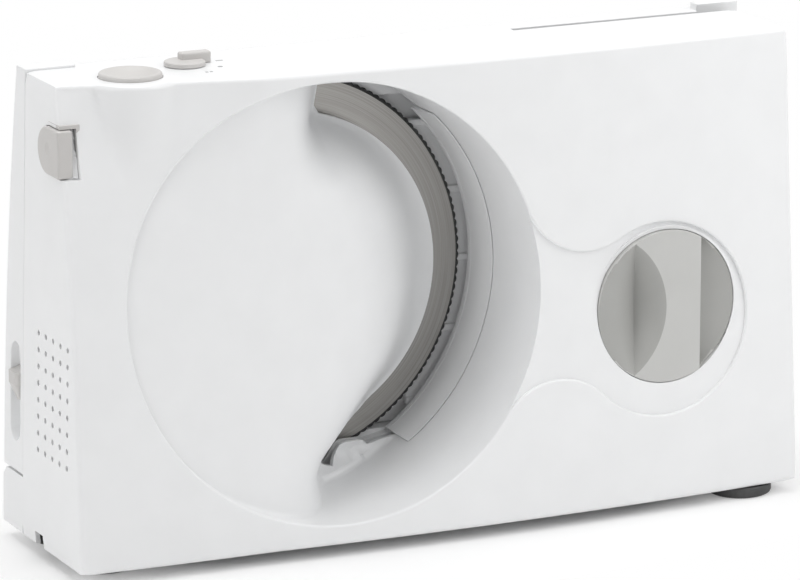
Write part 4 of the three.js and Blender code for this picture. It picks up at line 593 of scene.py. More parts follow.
def copy_of(piece, name, move):
    """A copy with its own mesh, moved by millimetres."""
    only(piece)
    bpy.ops.object.duplicate(linked=False)
    twin = bpy.context.object
    twin.name = name
    for vertex in twin.data.vertices:
        vertex.co += Vector(move) / 1000
    return twin


# %% Cut the housing's skin
BUTTON = (-77.0, -30.0, 13.0)
POCKET_LOW, POCKET_HIGH, POCKET_REAR, POCKET_FLOOR = 58.4, 78.6, -20.2, -104.9
VENT_HOLE, VENT_FIRST = 1.25, (-19.5, -9.3)
VENT_COLUMNS, VENT_ROWS, VENT_STEP = 5, 8, (7.9, 7.0)
pocket_round = (POCKET_HIGH - POCKET_LOW) / 2
pocket_middle = (POCKET_LOW + POCKET_HIGH) / 2
well_tool = cylinder("well_tool", BUTTON[2] + 0.3, (85, 105), BUTTON[:2], "z", 96)
round_tool = cylinder("round_tool", pocket_round, (-130, POCKET_FLOOR),
                      (POCKET_REAR - pocket_round, pocket_middle), "x", 64)
block_tool = block("block_tool", (-130, -80, POCKET_LOW),
                   (POCKET_FLOOR, POCKET_REAR - pocket_round, POCKET_HIGH))
cord_tool = block("cord_tool", (-125, -25.6, -105), (-108, -17.0, -93.4))
notch_tool = block("notch_tool", (105, -11, 90.4), (218, 2, 100))
under = [(-114.1, 1), *[(x, plain_front(x, BELOW) + 2.5) for x in range(-114, 211, 9)], (210.5, 1)]
under_tool = prism("under_tool", under, -103, -95, "z")
drill = cylinder("drill", VENT_HOLE, (-125, -105), VENT_FIRST, "x", 12)
drills = [drill]
for column in range(VENT_COLUMNS):
    for row in range(VENT_ROWS):
        if column or row:
            drills.append(copy_of(drill, "drill", (0, -VENT_STEP[0] * column, -VENT_STEP[1] * row)))
vent_tool = joined("vent_tool", drills)
carve(housing, well_tool, round_tool, block_tool, cord_tool, notch_tool, under_tool, vent_tool)
smooth(housing)
print("housing front:", len(housing.data.polygons), "faces after cutting")

# %% [markdown]
# The slice outlet is a shallow dish. Its floor starts level with the face at the left and curves down
# towards the blade at the right, where it rolls over into the crescent that the blade shows in. The
# net is laid as rings and spokes round the blade's axis, and the crescent is cut out of it afterwards.

# %% The dish
CRESCENT, CRESCENT_Y = 69.2, -7.8
CRESCENT_TOP, CRESCENT_LOW = 79.0, -55.0
TIP = (14.2, -81.0)
CREST_SLOPE = 0.16
FLOOR_START, FLOOR_FALL = 1.5, 2.6
ROLL_REACH, TIP_REACH, ROLL_FALL = 13, 5, 1.5
FILLET = 3.0
DISH_WALL = 2.0
SPOKES, FLOOR_RINGS, FILLET_RINGS, WALL_RINGS = 480, 48, 5, 7


def on_round(radius, degrees):
    return radius * math.cos(math.radians(degrees)), radius * math.sin(math.radians(degrees))


def to_segment(x, z, a, b):
    """How far a place is from the straight line between two points."""
    ux, uz = b[0] - a[0], b[1] - a[1]
    t = clamp(((x - a[0]) * ux + (z - a[1]) * uz) / (ux * ux + uz * uz), 0, 1)
    return math.hypot(x - a[0] - t * ux, z - a[1] - t * uz)


def beside_crescent(x, z):
    """How far a place on the floor is from the edge of the crescent."""
    if CRESCENT_LOW <= math.degrees(math.atan2(z, x)) <= CRESCENT_TOP:
        return max(0, CRESCENT - math.hypot(x, z))
    start = on_round(CRESCENT, CRESCENT_LOW)
    if x > TIP[0] and z < 0 and (z - TIP[1]) * (start[0] - TIP[0]) < (x - TIP[0]) * (start[1] - TIP[1]):
        return max(0, TIP[1] + CREST_SLOPE * (x - TIP[0]) - z)
    above = to_segment(x, z, on_round(CRESCENT, CRESCENT_TOP), on_round(DISH, CRESCENT_TOP))
    return min(above, to_segment(x, z, start, TIP))


def dish_floor(x, z):
    """A floor that falls from left to right, and sinks softly to the blade beside the crescent."""
    across = clamp((x + DISH) / (DISH + CRESCENT), 0, 1)
    rim = plain_front(x, z) + FLOOR_START
    plain = rim + (CRESCENT_Y - rim) * across**FLOOR_FALL
    apart = beside_crescent(x, z)
    under_tip = smooth_step(math.degrees(math.atan2(TIP[1] - z, TIP[0] - x)), 10, 90)
    reach = ROLL_REACH + TIP_REACH * under_tip
    soft = plain + (CRESCENT_Y - plain) * math.exp(-(apart / reach)**ROLL_FALL)
    return clamp(soft, plain_front(x, z) + RECESS, CRESCENT_Y)


def dish_place(i, j):
    """From the blade's axis out over the floor, round the fillet and up the wall to the rim."""
    angle = 2 * math.pi * i / SPOKES
    c, s = math.cos(angle), math.sin(angle)
    top = plain_front(DISH * c, DISH * s) + RECESS
    near = DISH - FILLET
    foot = dish_floor(near * c, near * s)
    bend = clamp(0.8 * (foot - top), 0, FILLET)
    if j <= FLOOR_RINGS:
        radius = (DISH - bend) * j / FLOOR_RINGS
        return at(radius * c, dish_floor(radius * c, radius * s), radius * s)
    foot = dish_floor((DISH - bend) * c, (DISH - bend) * s)
    j -= FLOOR_RINGS
    if j <= FILLET_RINGS:
        turn = math.pi / 2 * j / FILLET_RINGS
        radius = DISH - bend + bend * math.sin(turn)
        return at(radius * c, max(top, foot - bend * (1 - math.cos(turn))), radius * s)
    share = (j - FILLET_RINGS) / WALL_RINGS
    return at(DISH * c, max(top, foot - bend) * (1 - share) + top * share, DISH * s)


dish = wrapped("outlet_dish", SPOKES, FLOOR_RINGS + FILLET_RINGS + WALL_RINGS, dish_place)
face_front(dish)
thicken(dish, DISH_WALL)
print("dish:", len(dish.data.polygons), "faces")

# %% The crescent, cut through the dish
GAUGE_LOW, GAUGE_HIGH = -55.6, 46.0
crescent = arc((0, 0), CRESCENT, CRESCENT_TOP - 3.3, CRESCENT_LOW, 100)
crescent += [TIP, (17.0, -83.8), (20.2, -84.4), (22.9, -80.2), (25.3, -76.7)]
crescent += [(27.7, -75.7), (36.1, -75.7), (38.1, -77.7)]
crescent += arc((0, 0), DISH - 0.02, GAUGE_LOW, CRESCENT_TOP, 100)
crescent += arc(on_round(73.2, CRESCENT_TOP - 3.3), 4.0, 169, 256, 8)
gauge_room = arc((0, 0), 88.9, GAUGE_LOW - 0.4, GAUGE_HIGH + 0.3, 80) + [(100, 64.5), (100, -73.9)]
carve(dish, prism("crescent_tool", crescent, -90, 5), prism("gauge_tool", gauge_room, -20.7, 5))
smooth(dish)
print("dish with its crescent:", len(dish.data.polygons), "faces")

# %% [markdown]
# The knob sits in a round recess with a flat floor just under the face, and under the knob is a cup
# that its spindle passes through. The floor is a bowed grid, trimmed to the keyhole outline with an
# intersection, as a sheet is trimmed with a cutter. The cup, and the well of the ON button, are turned
# shapes: a short profile taken round its axis, the way a spin or a lathe would do it.

# %% Recess, cup and well
KNOB = (150.0, -16.4, 32.6)
KNOB_FACE, KNOB_REAR = -66.9, -55.2
RECESS_X, RECESS_Z = (80, 192), (-66, 36)
RECESS_COLUMNS, RECESS_ROWS = 56, 50


def turned(name, profile, centre, axis, columns=96):
    """A profile of (radius, height) points taken once round an axis through centre, in mm."""

    def place(i, j):
        angle = 2 * math.pi * i / columns
        radius, height = profile[j]
        u, v = centre[0] + radius * math.cos(angle), centre[1] + radius * math.sin(angle)
        return at(*{"x": (height, u, v), "y": (u, height, v), "z": (u, v, height)}[axis])

    shape = wrapped(name, columns, len(profile) - 1, place)
    face_outwards(shape)
    return shape


def recess_place(i, j):
    """A floor that follows the bow of the face, just under it."""
    x = RECESS_X[0] + (RECESS_X[1] - RECESS_X[0]) * i / RECESS_COLUMNS
    z = RECESS_Z[0] + (RECESS_Z[1] - RECESS_Z[0]) * j / RECESS_ROWS
    return at(x, plain_front(x, z) + RECESS - 0.05, z)


recess = wrapped("knob_recess", RECESS_COLUMNS, RECESS_ROWS, recess_place)
face_front(recess)
thicken(recess, 1.2)
trim = [(x + 0.4 * nx, z + 0.4 * nz) for x, z, nx, nz in OUTLINE]
carve(recess, prism("trim_tool", trim, -90, -40), operation="INTERSECT")
bore = cylinder("bore_tool", KNOB[2] + 0.3, (-90, -40), (KNOB[0], KNOB[1]), "y", 128)
carve(recess, cylinder("round_tool", DISH + 0.15, (-90, -40), (0, 0), "y", 240), bore)
recess_y = plain_front(KNOB[0], KNOB[1]) + RECESS
cup = turned("knob_cup", [(32.9, recess_y + 0.3), (34.1, recess_y + 0.3), (34.1, -53.7), (5.3, -53.7),
                          (5.3, -54.9), (32.9, -54.9), (32.9, recess_y + 0.3)], KNOB[:2], "y", 128)
well = turned("button_well", [(13.3, 94.8), (14.5, 94.8), (14.5, 78.8), (4.3, 78.8), (4.3, 80.0),
                              (13.3, 80.0), (13.3, 94.8)], BUTTON[:2], "z")
smooth(recess)
smooth(cup)
smooth(well)
print("recess floor:", len(recess.data.polygons), "faces")

# %% The release button's pocket
RELEASE_AXIS = (-31.5, 68.5)
POCKET_WALL = 1.5


def d_shape(margin):
    """The button's outline seen from the left end, round at the rear and open to the front."""
    tall = pocket_round + margin
    middle = POCKET_REAR - pocket_round
    return arc((middle, pocket_middle), tall, -90, 90, 40)


outer = d_shape(POCKET_WALL) + [(-40.4, POCKET_HIGH + POCKET_WALL), (-40.4, POCKET_LOW - POCKET_WALL)]
inner = d_shape(0) + [(-60, POCKET_HIGH), (-60, POCKET_LOW)]
pocket = prism("release_pocket", outer, -112.0, POCKET_FLOOR + POCKET_WALL, "x")
carve(pocket, prism("pocket_tool", inner, -120, POCKET_FLOOR, "x"),
      cylinder("stem_tool", 3.3, (-120, -90), RELEASE_AXIS, "x", 32))
crisp(pocket)
print("pocket:", len(pocket.data.polygons), "faces")

# %% [markdown]
# Below the table the housing is deeper: a bar runs along the back as its base. It is a prism with the
# same rounded lower corners as the front, hollowed from below, with room cut for the table's hinge
# lugs and for the blade's lower edge.

# %% The base at the back
BASE_TOP, BASE_REAR = -74.4, 18.8


def base_side(edge, sign):
    """One rounded lower corner of the base, from its top downwards."""
    side = [(edge(BASE_TOP), BASE_TOP)]
    for i in range(9):
        turn = math.pi / 2 * i / 8
        z = BELOW + CORNER - CORNER * math.sin(turn)
        side.append((edge(z) + sign * CORNER * (1 - math.cos(turn)), z))
    return side


outline = base_side(left_edge, 1) + base_side(lambda z: RIGHT, -1)[::-1]
base = prism("housing_base", outline, SEAM, BASE_REAR)
chamfer = [(14.9, -74.0), (19.6, -74.0), (19.6, -78.7)]
tools = [prism("chamfer_tool", chamfer, -125, 220, "x"),
         block("hollow_tool", (-114.0, -6.0, -105), (210.5, 16.3, -91.0)),
         block("tray_tool", (-75, -6.0, -105), (155, 16.3, -87.2)),
         block("left_hinge_tool", (-100.8, 5.7, -88.8), (-89.2, 20, -69)),
         block("right_hinge_tool", (194.2, 5.7, -88.8), (205.8, 20, -69)),
         cylinder("slot_tool", 87, (-2, 2), (0, 0), "y", 240),
         prism("window_tool", crescent, -6, 1.9)]
carve(base, *tools)
crisp(base)
print("base:", len(base.data.polygons), "faces")

# %% [markdown]
# Right of the blade stands the gauge plate, which the food slides along. Its edge towards the blade is
# a thin curved flange that lines the outlet's right wall. Both are prisms, joined with a union and
# given a small bevel, so that their edges catch the light as moulded edges do.

# %% The gauge plate
def bevelled(piece, width, degrees=40, segments=2):
    """Rounds the edges that are sharper than an angle."""
    bevel = piece.modifiers.new("bevel", "BEVEL")
    bevel.width = width / 1000
    bevel.segments = segments
    bevel.limit_method = "ANGLE"
    bevel.angle_limit = math.radians(degrees)
    bevel.harden_normals = False
    apply_all(piece)


FLANGE = (89.2, 90.7, -21.0)
FLANGE_LIP = 90.4
plate = arc((0, 0), FLANGE[0], GAUGE_LOW, GAUGE_HIGH, 80)
plate += [(61.9, 64.2), (105.3, 64.2), (105.3, 88), (208, 88), (208, -73.6), (50.4, -73.6)]
band = arc((0, 0), FLANGE[0], GAUGE_LOW, GAUGE_HIGH, 80)
band += arc((0, 0), FLANGE[1], GAUGE_HIGH, GAUGE_LOW, 80)
gauge = prism("gauge", plate, -3.0, 0.0)
flange = prism("flange", band, FLANGE[2], -0.5)
# The flange thins towards its front edge, as a moulded wall with draft does.
for vertex in flange.data.vertices:
    place = (vertex.co - ZERO) * 1000
    radius = math.hypot(place.x, place.z)
    if place.y < -10 and radius < 90:
        vertex.co = at(place.x * FLANGE_LIP / radius, place.y, place.z * FLANGE_LIP / radius)
carve(gauge, flange, operation="UNION")
bevelled(gauge, 0.12)
crisp(gauge, 50)
print("gauge plate:", len(gauge.data.polygons), "faces")

# %% [markdown]
# The blade is a ground steel disc with a wavy, toothed edge. A grid with eight columns to each tooth is
# wrapped round the axis: the outer rows follow the waves, and a narrow band of the front is ground to
# a bevel. That band has a rougher, near-black material of its own: painted shade and painted dark
# reflection, standing in for the shaded gullets of the teeth.

# %% The blade
TEETH, TOOTH_COLUMNS = 150, 8
TOOTH, HALF = 0.65, 0.6
BORE = (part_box("blade_axle")[1].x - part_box("blade_axle")[0].x) * 500 + 0.3
BLADE_ROWS = [(BORE, -HALF, 0), (40, -HALF, 0), (70, -HALF, 0), (83.2, -HALF, 0), (84.2, -0.25, 1),
              (85.0, 0.25, 1), (85.0, HALF, 1), (70, HALF, 0), (40, HALF, 0), (BORE, HALF, 0),
              (BORE, -HALF, 0)]


def blade_place(i, j):
    """Each row is a radius and a height; only the outer rows follow the teeth."""
    angle = 2 * math.pi * i / (TEETH * TOOTH_COLUMNS)
    radius, y, waved = BLADE_ROWS[j]
    wave = 1 - math.sin(math.pi * (i % TOOTH_COLUMNS) / TOOTH_COLUMNS)
    radius -= waved * TOOTH * wave * (1 if radius > 84.5 else 0.75)
    return at(radius * math.cos(angle), y, radius * math.sin(angle))


blade = wrapped("slicing_blade", TEETH * TOOTH_COLUMNS, len(BLADE_ROWS) - 1, blade_place)
face_outwards(blade)
smooth(blade, 8)
print("blade:", len(blade.data.polygons), "faces")

# %% [markdown]
# The thickness knob is a disc with a finger hollow on each side of its grip. The left hollow is a lens:
# it falls from the rim to a crease and climbs again to a curved edge. The right one drops away behind a
# straight edge. The front is a grid whose columns run along these edges, so they stay crisp; its border
# is then extruded backwards and flattened onto the knob's rear, and closed.

# %% The knob
KNOB_ROWS = 72
KNOB_PARTS = (12, 9, 10, 2, 7)
LENS_HALF, LENS_DEPTH, LENS_ROUND = 28.5, 10.0, 34.6
CREASE, CREASE_BOW, GRIP_EDGE, DROP = -15.5, 4.6, 15.5, 6.5


def knob_place(i, j):
    """Columns run from the left rim to the crease, the curved edge, the grip and the right rim."""
    z = -KNOB[2] * math.cos(math.pi * j / KNOB_ROWS)
    wide = math.sqrt(max(0, KNOB[2] ** 2 - z * z))
    bow = max(0, 1 - (z / LENS_HALF) ** 2)
    crease = max(-wide, CREASE + CREASE_BOW * bow)
    curve = max(crease, -0.7 - LENS_ROUND + math.sqrt(LENS_ROUND**2 - z * z))
    edge = min(wide, GRIP_EDGE)
    foot = min(wide, edge + 0.5)
    drop = DROP * clamp((wide - edge) / 4, 0, 1)
    deep = LENS_DEPTH * bow
    low = 0.5 * min(1, bow * 3)
    stops = [(-wide, low), (crease, deep), (curve, 0), (edge, 0), (foot, drop), (wide, 0.45 * drop)]
    part = 0
    while part < 4 and i > KNOB_PARTS[part]:
        i -= KNOB_PARTS[part]
        part += 1
    share = i / KNOB_PARTS[part]
    (x0, d0), (x1, d1) = stops[part], stops[part + 1]
    bend = (share**1.9, 1 - (1 - share)**1.25, share, share, share)[part]
    return at(KNOB[0] + x0 + (x1 - x0) * share, KNOB_FACE + d0 + (d1 - d0) * bend, KNOB[1] + z)


knob = wrapped("knob", sum(KNOB_PARTS), KNOB_ROWS, knob_place)
face_front(knob)
only(knob)
bpy.ops.object.mode_set(mode="EDIT")
bpy.ops.mesh.select_mode(type="EDGE")
bpy.ops.mesh.select_all(action="DESELECT")
bpy.ops.mesh.select_non_manifold(extend=False, use_wire=False, use_boundary=True,
                                 use_multi_face=False, use_non_contiguous=False, use_verts=False)
bpy.ops.mesh.extrude_region_move(TRANSFORM_OT_translate={"value": (0, 0.02, 0)})
bpy.ops.transform.resize(value=(1, 0, 1), center_override=at(KNOB[0], KNOB_REAR, KNOB[1]))
bpy.ops.mesh.edge_face_add()
bpy.ops.mesh.select_all(action="SELECT")
bpy.ops.mesh.normals_make_consistent(inside=False)
bpy.ops.mesh.select_mode(type="VERT")
bpy.ops.object.mode_set(mode="OBJECT")
bevelled(knob, 0.5, 55, 3)
smooth(knob, 14)
print("knob:", len(knob.data.polygons), "faces")

# %% [markdown]
# The controls on top and at the left end are satin grey. The ON button is turned, with a rounded
# shoulder, a shallow dish for the finger and a hollow underneath that leaves room for its spring. The
# selector is a low disc with a bar standing on it, its edges bevelled. The release button is round at
# the rear and straight in front, with a small dimple; its stem ends in a nose that enters its spring.

# %% ON button and selector
button_profile = [(0, 94.8), (3, 94.9), (6, 95.3), (8.5, 96.0), (10.2, 96.75), (11.2, 97.25),
                  (11.9, 97.4), (12.5, 97.2), (12.85, 96.8), (13, 96.2), (13, 88.4),
                  (7.4, 88.4), (7.4, 92.0), (4, 92.0), (4, 76.4), (0, 76.4)]
button = turned("start_button", button_profile, BUTTON[:2], "z", 128)
smooth(button)
SELECTOR = (-48.6, -19.0)
selector_profile = [(0, 97.5), (7.7, 97.5), (8.3, 97.25), (8.5, 96.8), (8.5, 95.7), (3, 95.7),
                    (3, 85.5), (0, 85.5)]
selector = turned("selector", selector_profile, SELECTOR, "z")
bar = block("selector_bar", (-49.6, -18.4, 95.2), (-36.4, -13.4, 100.3))
bevelled(bar, 0.9, 40, 4)
carve(selector, bar, operation="UNION")
crisp(selector)
print("button and selector:", [len(p.data.polygons) for p in (button, selector)], "faces")

# %% Release button
d_front = [(-42.5, 78.25), (-42.5, 58.75)]
release = prism("release", arc((-30.25, 68.5), 9.75, -90, 90, 40) + d_front, -113.89, -107.3, "x")
bevelled(release, 0.7, 40, 3)
bpy.ops.object.select_all(action="DESELECT")
bpy.ops.mesh.primitive_uv_sphere_add(
    segments=32, ring_count=16, radius=0.006, location=at(-119.3, -31.3, 69.6))
dimple = bpy.context.object
place_in_mesh(dimple)
carve(release, dimple)
carve(release, cylinder("release_stem", 3, (-108.4, -97.2), RELEASE_AXIS, "x", 32),
      cylinder("release_nose", 2, (-97.4, -94.9), RELEASE_AXIS, "x", 32), operation="UNION")
crisp(release)
print("release button:", len(release.data.polygons), "faces")

# %% Marks for the selector's three places
mark = block("place_mark", (-33.6, -16.6, 95.3), (-30.4, -15.4, 95.48))
bevelled(mark, 0.05, 40, 1)
dot = cylinder("place_dot", 1.1, (95.3, 95.48), (-36.5, -27.4), "z", 32)
bevelled(dot, 0.05, 40, 1)
twin = block("place_twin", (-46.4, -36.0, 95.3), (-45.2, -34.6, 95.48))
bevelled(twin, 0.05, 40, 1)
second = copy_of(twin, "place_second", (2.0, 0, 0))
marks = joined("place_marks", [mark, dot, twin, second])
crisp(marks)
print("marks:", len(marks.data.polygons), "faces")

# %% [markdown]
# Some pieces are plain enough that the measured model's own shape is a good start: a copy is taken, its
# loose triangles are merged, flat areas are made into single faces, and every sharp edge is rounded.

# %% Copies of plain parts
def dressed(node, name, width, degrees=35):
    """A copy of a part of the model with merged faces and rounded edges."""
    only(frame["nodes"][node])
    bpy.ops.object.duplicate(linked=False)
    piece = bpy.context.object
    piece.name = name
    bpy.ops.object.parent_clear(type="CLEAR_KEEP_TRANSFORM")
    piece.data.materials.clear()
    bpy.ops.object.mode_set(mode="EDIT")
    bpy.ops.mesh.select_all(action="SELECT")
    bpy.ops.mesh.remove_doubles(threshold=1e-5)
    bpy.ops.mesh.dissolve_limited(angle_limit=math.radians(0.5))
    bpy.ops.object.mode_set(mode="OBJECT")
    bevelled(piece, width, degrees)
    crisp(piece)
    return piece


table = dressed("folding_table", "table", 0.6)
carriage = dressed("carriage", "food_carriage", 0.5)
tray = dressed("cord_tray", "cord_tray_insert", 0.3)
print("table, carriage and tray:", [len(p.data.polygons) for p in (table, carriage, tray)], "faces")

# %% [markdown]
# The latch in the table's end is a thumb piece: a post with rounded corners that tapers to its lower
# end, with a scoop in its top for the thumb.

# %% The latch
latch_low, latch_high = [(corner - ZERO) * 1000 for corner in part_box("slide_latch")]
latch_y = (latch_high.y + latch_low.y) / 2
LATCH_ROUND, LATCH_TAPER = 2.2, (0.5, 0.3)
SCOOP = 9.0
waist = latch_low.z + 7.0
corner_x = latch_low.x + LATCH_ROUND
post = arc((corner_x, latch_high.y - LATCH_ROUND), LATCH_ROUND, 90, 180, 10)
post += arc((corner_x, latch_low.y + LATCH_ROUND), LATCH_ROUND, 180, 270, 10)
post += [(latch_high.x, latch_low.y), (latch_high.x, latch_high.y)]
latch = prism("latch", post, waist, latch_high.z, "z")
taper = prism("latch_taper", post, latch_low.z, waist + 0.05, "z")
for vertex in taper.data.vertices:
    place = (vertex.co - ZERO) * 1000
    if place.z < waist - 1:
        x = latch_high.x + LATCH_TAPER[0] * (place.x - latch_high.x)
        vertex.co = at(x, latch_y + LATCH_TAPER[1] * (place.y - latch_y), place.z)
carve(latch, taper, operation="UNION")
scoop_at = (latch_low.x + 1.0, latch_high.z + 7.6)
carve(latch, cylinder("scoop", SCOOP, (latch_y - SCOOP, latch_y + SCOOP), scoop_at, "y", 64))
bevelled(latch, 0.35)
crisp(latch)
print("latch:", len(latch.data.polygons), "faces")

# %% [markdown]
# Four rubber feet, turned once and copied: a stem that is pressed into the base, a flat top, a rounded
# lower edge and a shallow hollow underneath.

# %% Feet
FOOT_NODES = ("foot_front_left", "foot_front_right", "foot_rear_left", "foot_rear_right")
foot_profile = [(0, -94.8), (3.6, -94.8), (4, -95.2), (4, -99.8), (13.6, -99.8), (14, -100.2),
                (14, -103.0), (13.6, -103.9), (12.5, -104.5), (9.5, -104.5), (8.6, -104.0), (0, -104.0)]
foot_low, foot_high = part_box(FOOT_NODES[0])
spot = ((foot_low + foot_high) / 2 - ZERO) * 1000
first_foot = turned("foot", foot_profile, (spot.x, spot.y), "z", 72)
smooth(first_foot)
feet = [first_foot]
for node in FOOT_NODES[1:]:
    low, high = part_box(node)
    move = ((low + high) / 2 - ZERO) * 1000 - spot
    feet.append(copy_of(first_foot, "foot", (move.x, move.y, 0)))
print("feet:", len(feet))

# %% [markdown]
# Finishes are mixed from noise on Object coordinates, which here are metres in the scene, so that grain
# keeps its real size. Moulded plastic gets a faint cloud of colour, a slightly uneven gloss and a very
# fine bump. Turned and ground metal gets fine rings, from noise that changes fast along the radius.

# %% Plastic, rubber and plain metal
def finish(name, colour, roughness, metallic=0.0, grain=700, shade=0.02, bump=0.02, specular=0.5):
    """A procedural finish: colour, roughness and a fine bump from noise."""
    made = bpy.data.materials.new(name)
    made.use_nodes = True
    nodes, links = made.node_tree.nodes, made.node_tree.links
    shader = nodes["Principled BSDF"]
    shader.inputs["Metallic"].default_value = metallic
    shader.inputs["Specular IOR Level"].default_value = specular
    coordinates = nodes.new("ShaderNodeTexCoord")
    cloud = nodes.new("ShaderNodeTexNoise")
    cloud.inputs["Scale"].default_value = grain / 12
    cloud.inputs["Detail"].default_value = 3
    fine = nodes.new("ShaderNodeTexNoise")
    fine.inputs["Scale"].default_value = grain
    fine.inputs["Detail"].default_value = 4
    for noise in (cloud, fine):
        links.new(coordinates.outputs["Object"], noise.inputs["Vector"])
    ramp = nodes.new("ShaderNodeValToRGB")
    ramp.color_ramp.elements[0].position = 0.3
    ramp.color_ramp.elements[1].position = 0.7
    ramp.color_ramp.elements[0].color = (*[c * (1 - shade) for c in colour], 1)
    ramp.color_ramp.elements[1].color = (*[min(1, c * (1 + shade)) for c in colour], 1)
    links.new(cloud.outputs["Fac"], ramp.inputs["Fac"])
    links.new(ramp.outputs["Color"], shader.inputs["Base Color"])
    gloss = nodes.new("ShaderNodeMapRange")
    gloss.inputs["To Min"].default_value = roughness * 0.85
    gloss.inputs["To Max"].default_value = roughness * 1.15
    links.new(fine.outputs["Fac"], gloss.inputs["Value"])
    links.new(gloss.outputs["Result"], shader.inputs["Roughness"])
    relief = nodes.new("ShaderNodeBump")
    relief.inputs["Strength"].default_value = bump
    relief.inputs["Distance"].default_value = 0.0004
    links.new(fine.outputs["Fac"], relief.inputs["Height"])
    links.new(relief.outputs["Normal"], shader.inputs["Normal"])
    return made


# %% Brushed steel
def brushed(name, dark, light, roughness):
    """Steel with fine rings round the blade's axis."""
    made = finish(name, light, roughness, 1.0, 900, 0.05, 0.02)
    nodes, links = made.node_tree.nodes, made.node_tree.links
    shader = nodes["Principled BSDF"]
    coordinates = nodes["Texture Coordinate"]
    offset = nodes.new("ShaderNodeVectorMath")
    offset.operation = "SUBTRACT"
    offset.inputs[1].default_value = ZERO
    links.new(coordinates.outputs["Object"], offset.inputs[0])
    flat = nodes.new("ShaderNodeVectorMath")
    flat.operation = "MULTIPLY"
    flat.inputs[1].default_value = (1, 0, 1)
    links.new(offset.outputs["Vector"], flat.inputs[0])
    radius = nodes.new("ShaderNodeVectorMath")
    radius.operation = "LENGTH"
    links.new(flat.outputs["Vector"], radius.inputs[0])
    around = nodes.new("ShaderNodeVectorMath")
    around.operation = "NORMALIZE"
    links.new(flat.outputs["Vector"], around.inputs[0])
    split = nodes.new("ShaderNodeSeparateXYZ")
    links.new(around.outputs["Vector"], split.inputs["Vector"])
    rings = nodes.new("ShaderNodeMath")
    rings.operation = "MULTIPLY"
    rings.inputs[1].default_value = 2600
    links.new(radius.outputs["Value"], rings.inputs[0])
    brush = nodes.new("ShaderNodeCombineXYZ")
    links.new(rings.outputs[0], brush.inputs["X"])
    links.new(split.outputs["X"], brush.inputs["Y"])
    links.new(split.outputs["Z"], brush.inputs["Z"])
    lines = nodes.new("ShaderNodeTexNoise")
    lines.inputs["Scale"].default_value = 1
    lines.inputs["Detail"].default_value = 3
    links.new(brush.outputs["Vector"], lines.inputs["Vector"])
    ramp = nodes["Color Ramp"]
    ramp.color_ramp.elements[0].color = (*dark, 1)
    ramp.color_ramp.elements[1].color = (*light, 1)
    links.new(lines.outputs["Fac"], ramp.inputs["Fac"])
    links.new(lines.outputs["Fac"], nodes["Bump"].inputs["Height"])
    return made


# %% The finishes
FINISHES = {
    "white_plastic": finish("white_plastic", (0.86, 0.865, 0.87), 0.3, shade=0.012),
    "grey_plastic": finish("grey_plastic", (0.585, 0.57, 0.555), 0.42, shade=0.02, bump=0.05),
    "knob_plastic": finish("knob_plastic", (0.55, 0.55, 0.535), 0.36, shade=0.02, bump=0.04),
    # A darker copy of the knob's plastic, used as painted shade in its finger hollows.
    "knob_painted_shade": finish("knob_painted_shade", (0.39, 0.39, 0.375), 0.42, shade=0.02, bump=0.06),
    "gear_plastic": finish("gear_plastic", (0.79, 0.74, 0.63), 0.45),
    "dark_plastic": finish("dark_plastic", (0.03, 0.03, 0.03), 0.45, shade=0.15),
    "rubber": finish("rubber", (0.06, 0.06, 0.06), 0.7, shade=0.15, bump=0.15),
    "blade_steel": brushed("blade_steel", (0.30, 0.29, 0.275), (0.40, 0.39, 0.375), 0.32),
    "steel": finish("steel", (0.5, 0.5, 0.5), 0.3, 1.0, shade=0.06),
    "iron_core": finish("iron_core", (0.16, 0.17, 0.18), 0.5, 0.8, shade=0.1),
    "copper": finish("copper", (0.55, 0.2, 0.08), 0.35, 1.0, shade=0.1),
    "carbon": finish("carbon", (0.02, 0.02, 0.02), 0.6, shade=0.2),
    "bronze": finish("bronze", (0.5, 0.3, 0.12), 0.4, 1.0, shade=0.08),
}
# Near-black finish for the blade's edge band: painted shade and painted dark reflection of the teeth's
# gullets.
edge_painted_shade = finish("edge_painted_shade_steel", (0.07, 0.07, 0.07), 0.5, 0.6, 900, 0.1)
mark_finish = finish("printed_mark", (0.35, 0.35, 0.36), 0.5, shade=0.05)
print("finishes:", sorted(FINISHES))

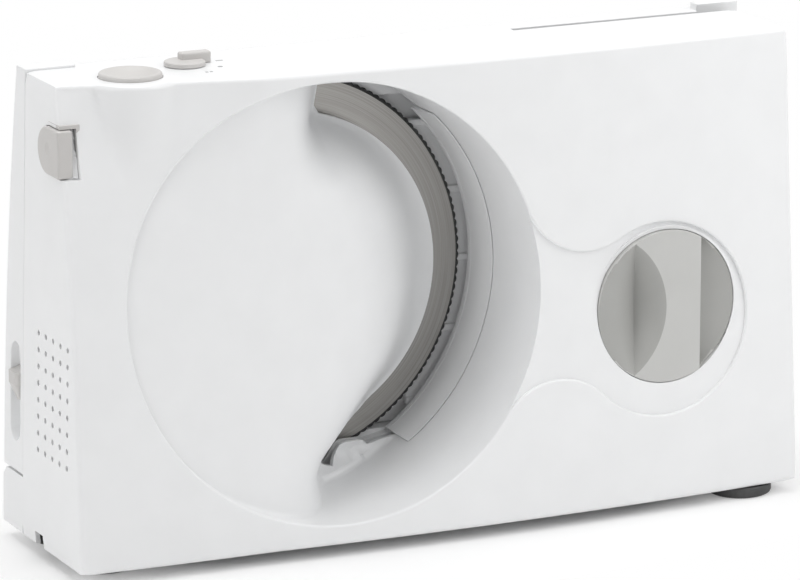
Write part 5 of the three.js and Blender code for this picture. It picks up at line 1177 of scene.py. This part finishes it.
# %% [markdown]
# Each piece now gets its finish, the body it moves with and the part of the model that it stands for.
# All other parts of the model stay as they are, under the finish of their own slot.

# %% Finishes and bodies
def belongs(piece, body, node, slot_name, *more):
    """Gives a piece its finish and any further ones, its body, its part of the model and its slot."""
    piece.data.materials.clear()
    piece.data.materials.append(FINISHES[slot_name])
    for extra in more:
        piece.data.materials.append(extra)
    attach(piece, body)
    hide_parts(node)


for piece in (housing, dish, recess, cup, well, base):
    belongs(piece, "housing", "front_housing", "white_plastic")
belongs(marks, "housing", "front_housing", "grey_plastic")
marks.data.materials[0] = mark_finish
# The pocket is lined in grey instead of the housing's white: painted shade in the gap round the release
# button.
belongs(pocket, "housing", "front_housing", "grey_plastic")
# The cord tray gets the dark finish, so the inside of the cord notch shows dark.
belongs(tray, "housing", "cord_tray", "dark_plastic")
belongs(gauge, "gauge", "gauge_plate", "white_plastic")
belongs(blade, "blade", "blade", "blade_steel", edge_painted_shade)
# The outer band of the blade's front takes the near-black finish, as painted shade of the teeth's
# gullets.
for face in blade.data.polygons:
    middle = (face.center - ZERO) * 1000
    if math.hypot(middle.x, middle.z) > 83.3 and middle.y < 0.5:
        face.material_index = 1
belongs(knob, "knob", "thickness_knob", "knob_plastic", FINISHES["knob_painted_shade"])
# Faces sunk behind the knob's front, in its finger hollows, take the darker finish as painted shade.
for face in knob.data.polygons:
    middle = (face.center - ZERO) * 1000 - Vector((KNOB[0], KNOB_FACE, KNOB[1]))
    if 0.04 < middle.y and math.hypot(middle.x, middle.z) < KNOB[2] - 0.4 and face.normal.y < -0.2:
        face.material_index = 1
belongs(button, "on_button", "on_button", "grey_plastic")
belongs(selector, "selector", "selector_knob", "grey_plastic")
belongs(release, "release", "release_button", "grey_plastic")
belongs(table, "table", "folding_table", "white_plastic")
belongs(carriage, "carriage", "carriage", "white_plastic")
belongs(latch, "latch", "slide_latch", "grey_plastic")
for foot, node in zip(feet, FOOT_NODES):
    foot.name = node + "_rubber"
    belongs(foot, "housing", node, "rubber")
slots = {part["node"]: part["material_slot"] for part in frame["record"]["subparts"]}
for name, part in frame["nodes"].items():
    part.data.materials.clear()
    part.data.materials.append(FINISHES[slots[name]])

# %% Size and finish
low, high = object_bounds()
print("beyond the model's box in mm:", [round(1000 * (a - b), 2) for a, b in zip(cad_low, low)],
      [round(1000 * (a - b), 2) for a, b in zip(high, cad_high)])
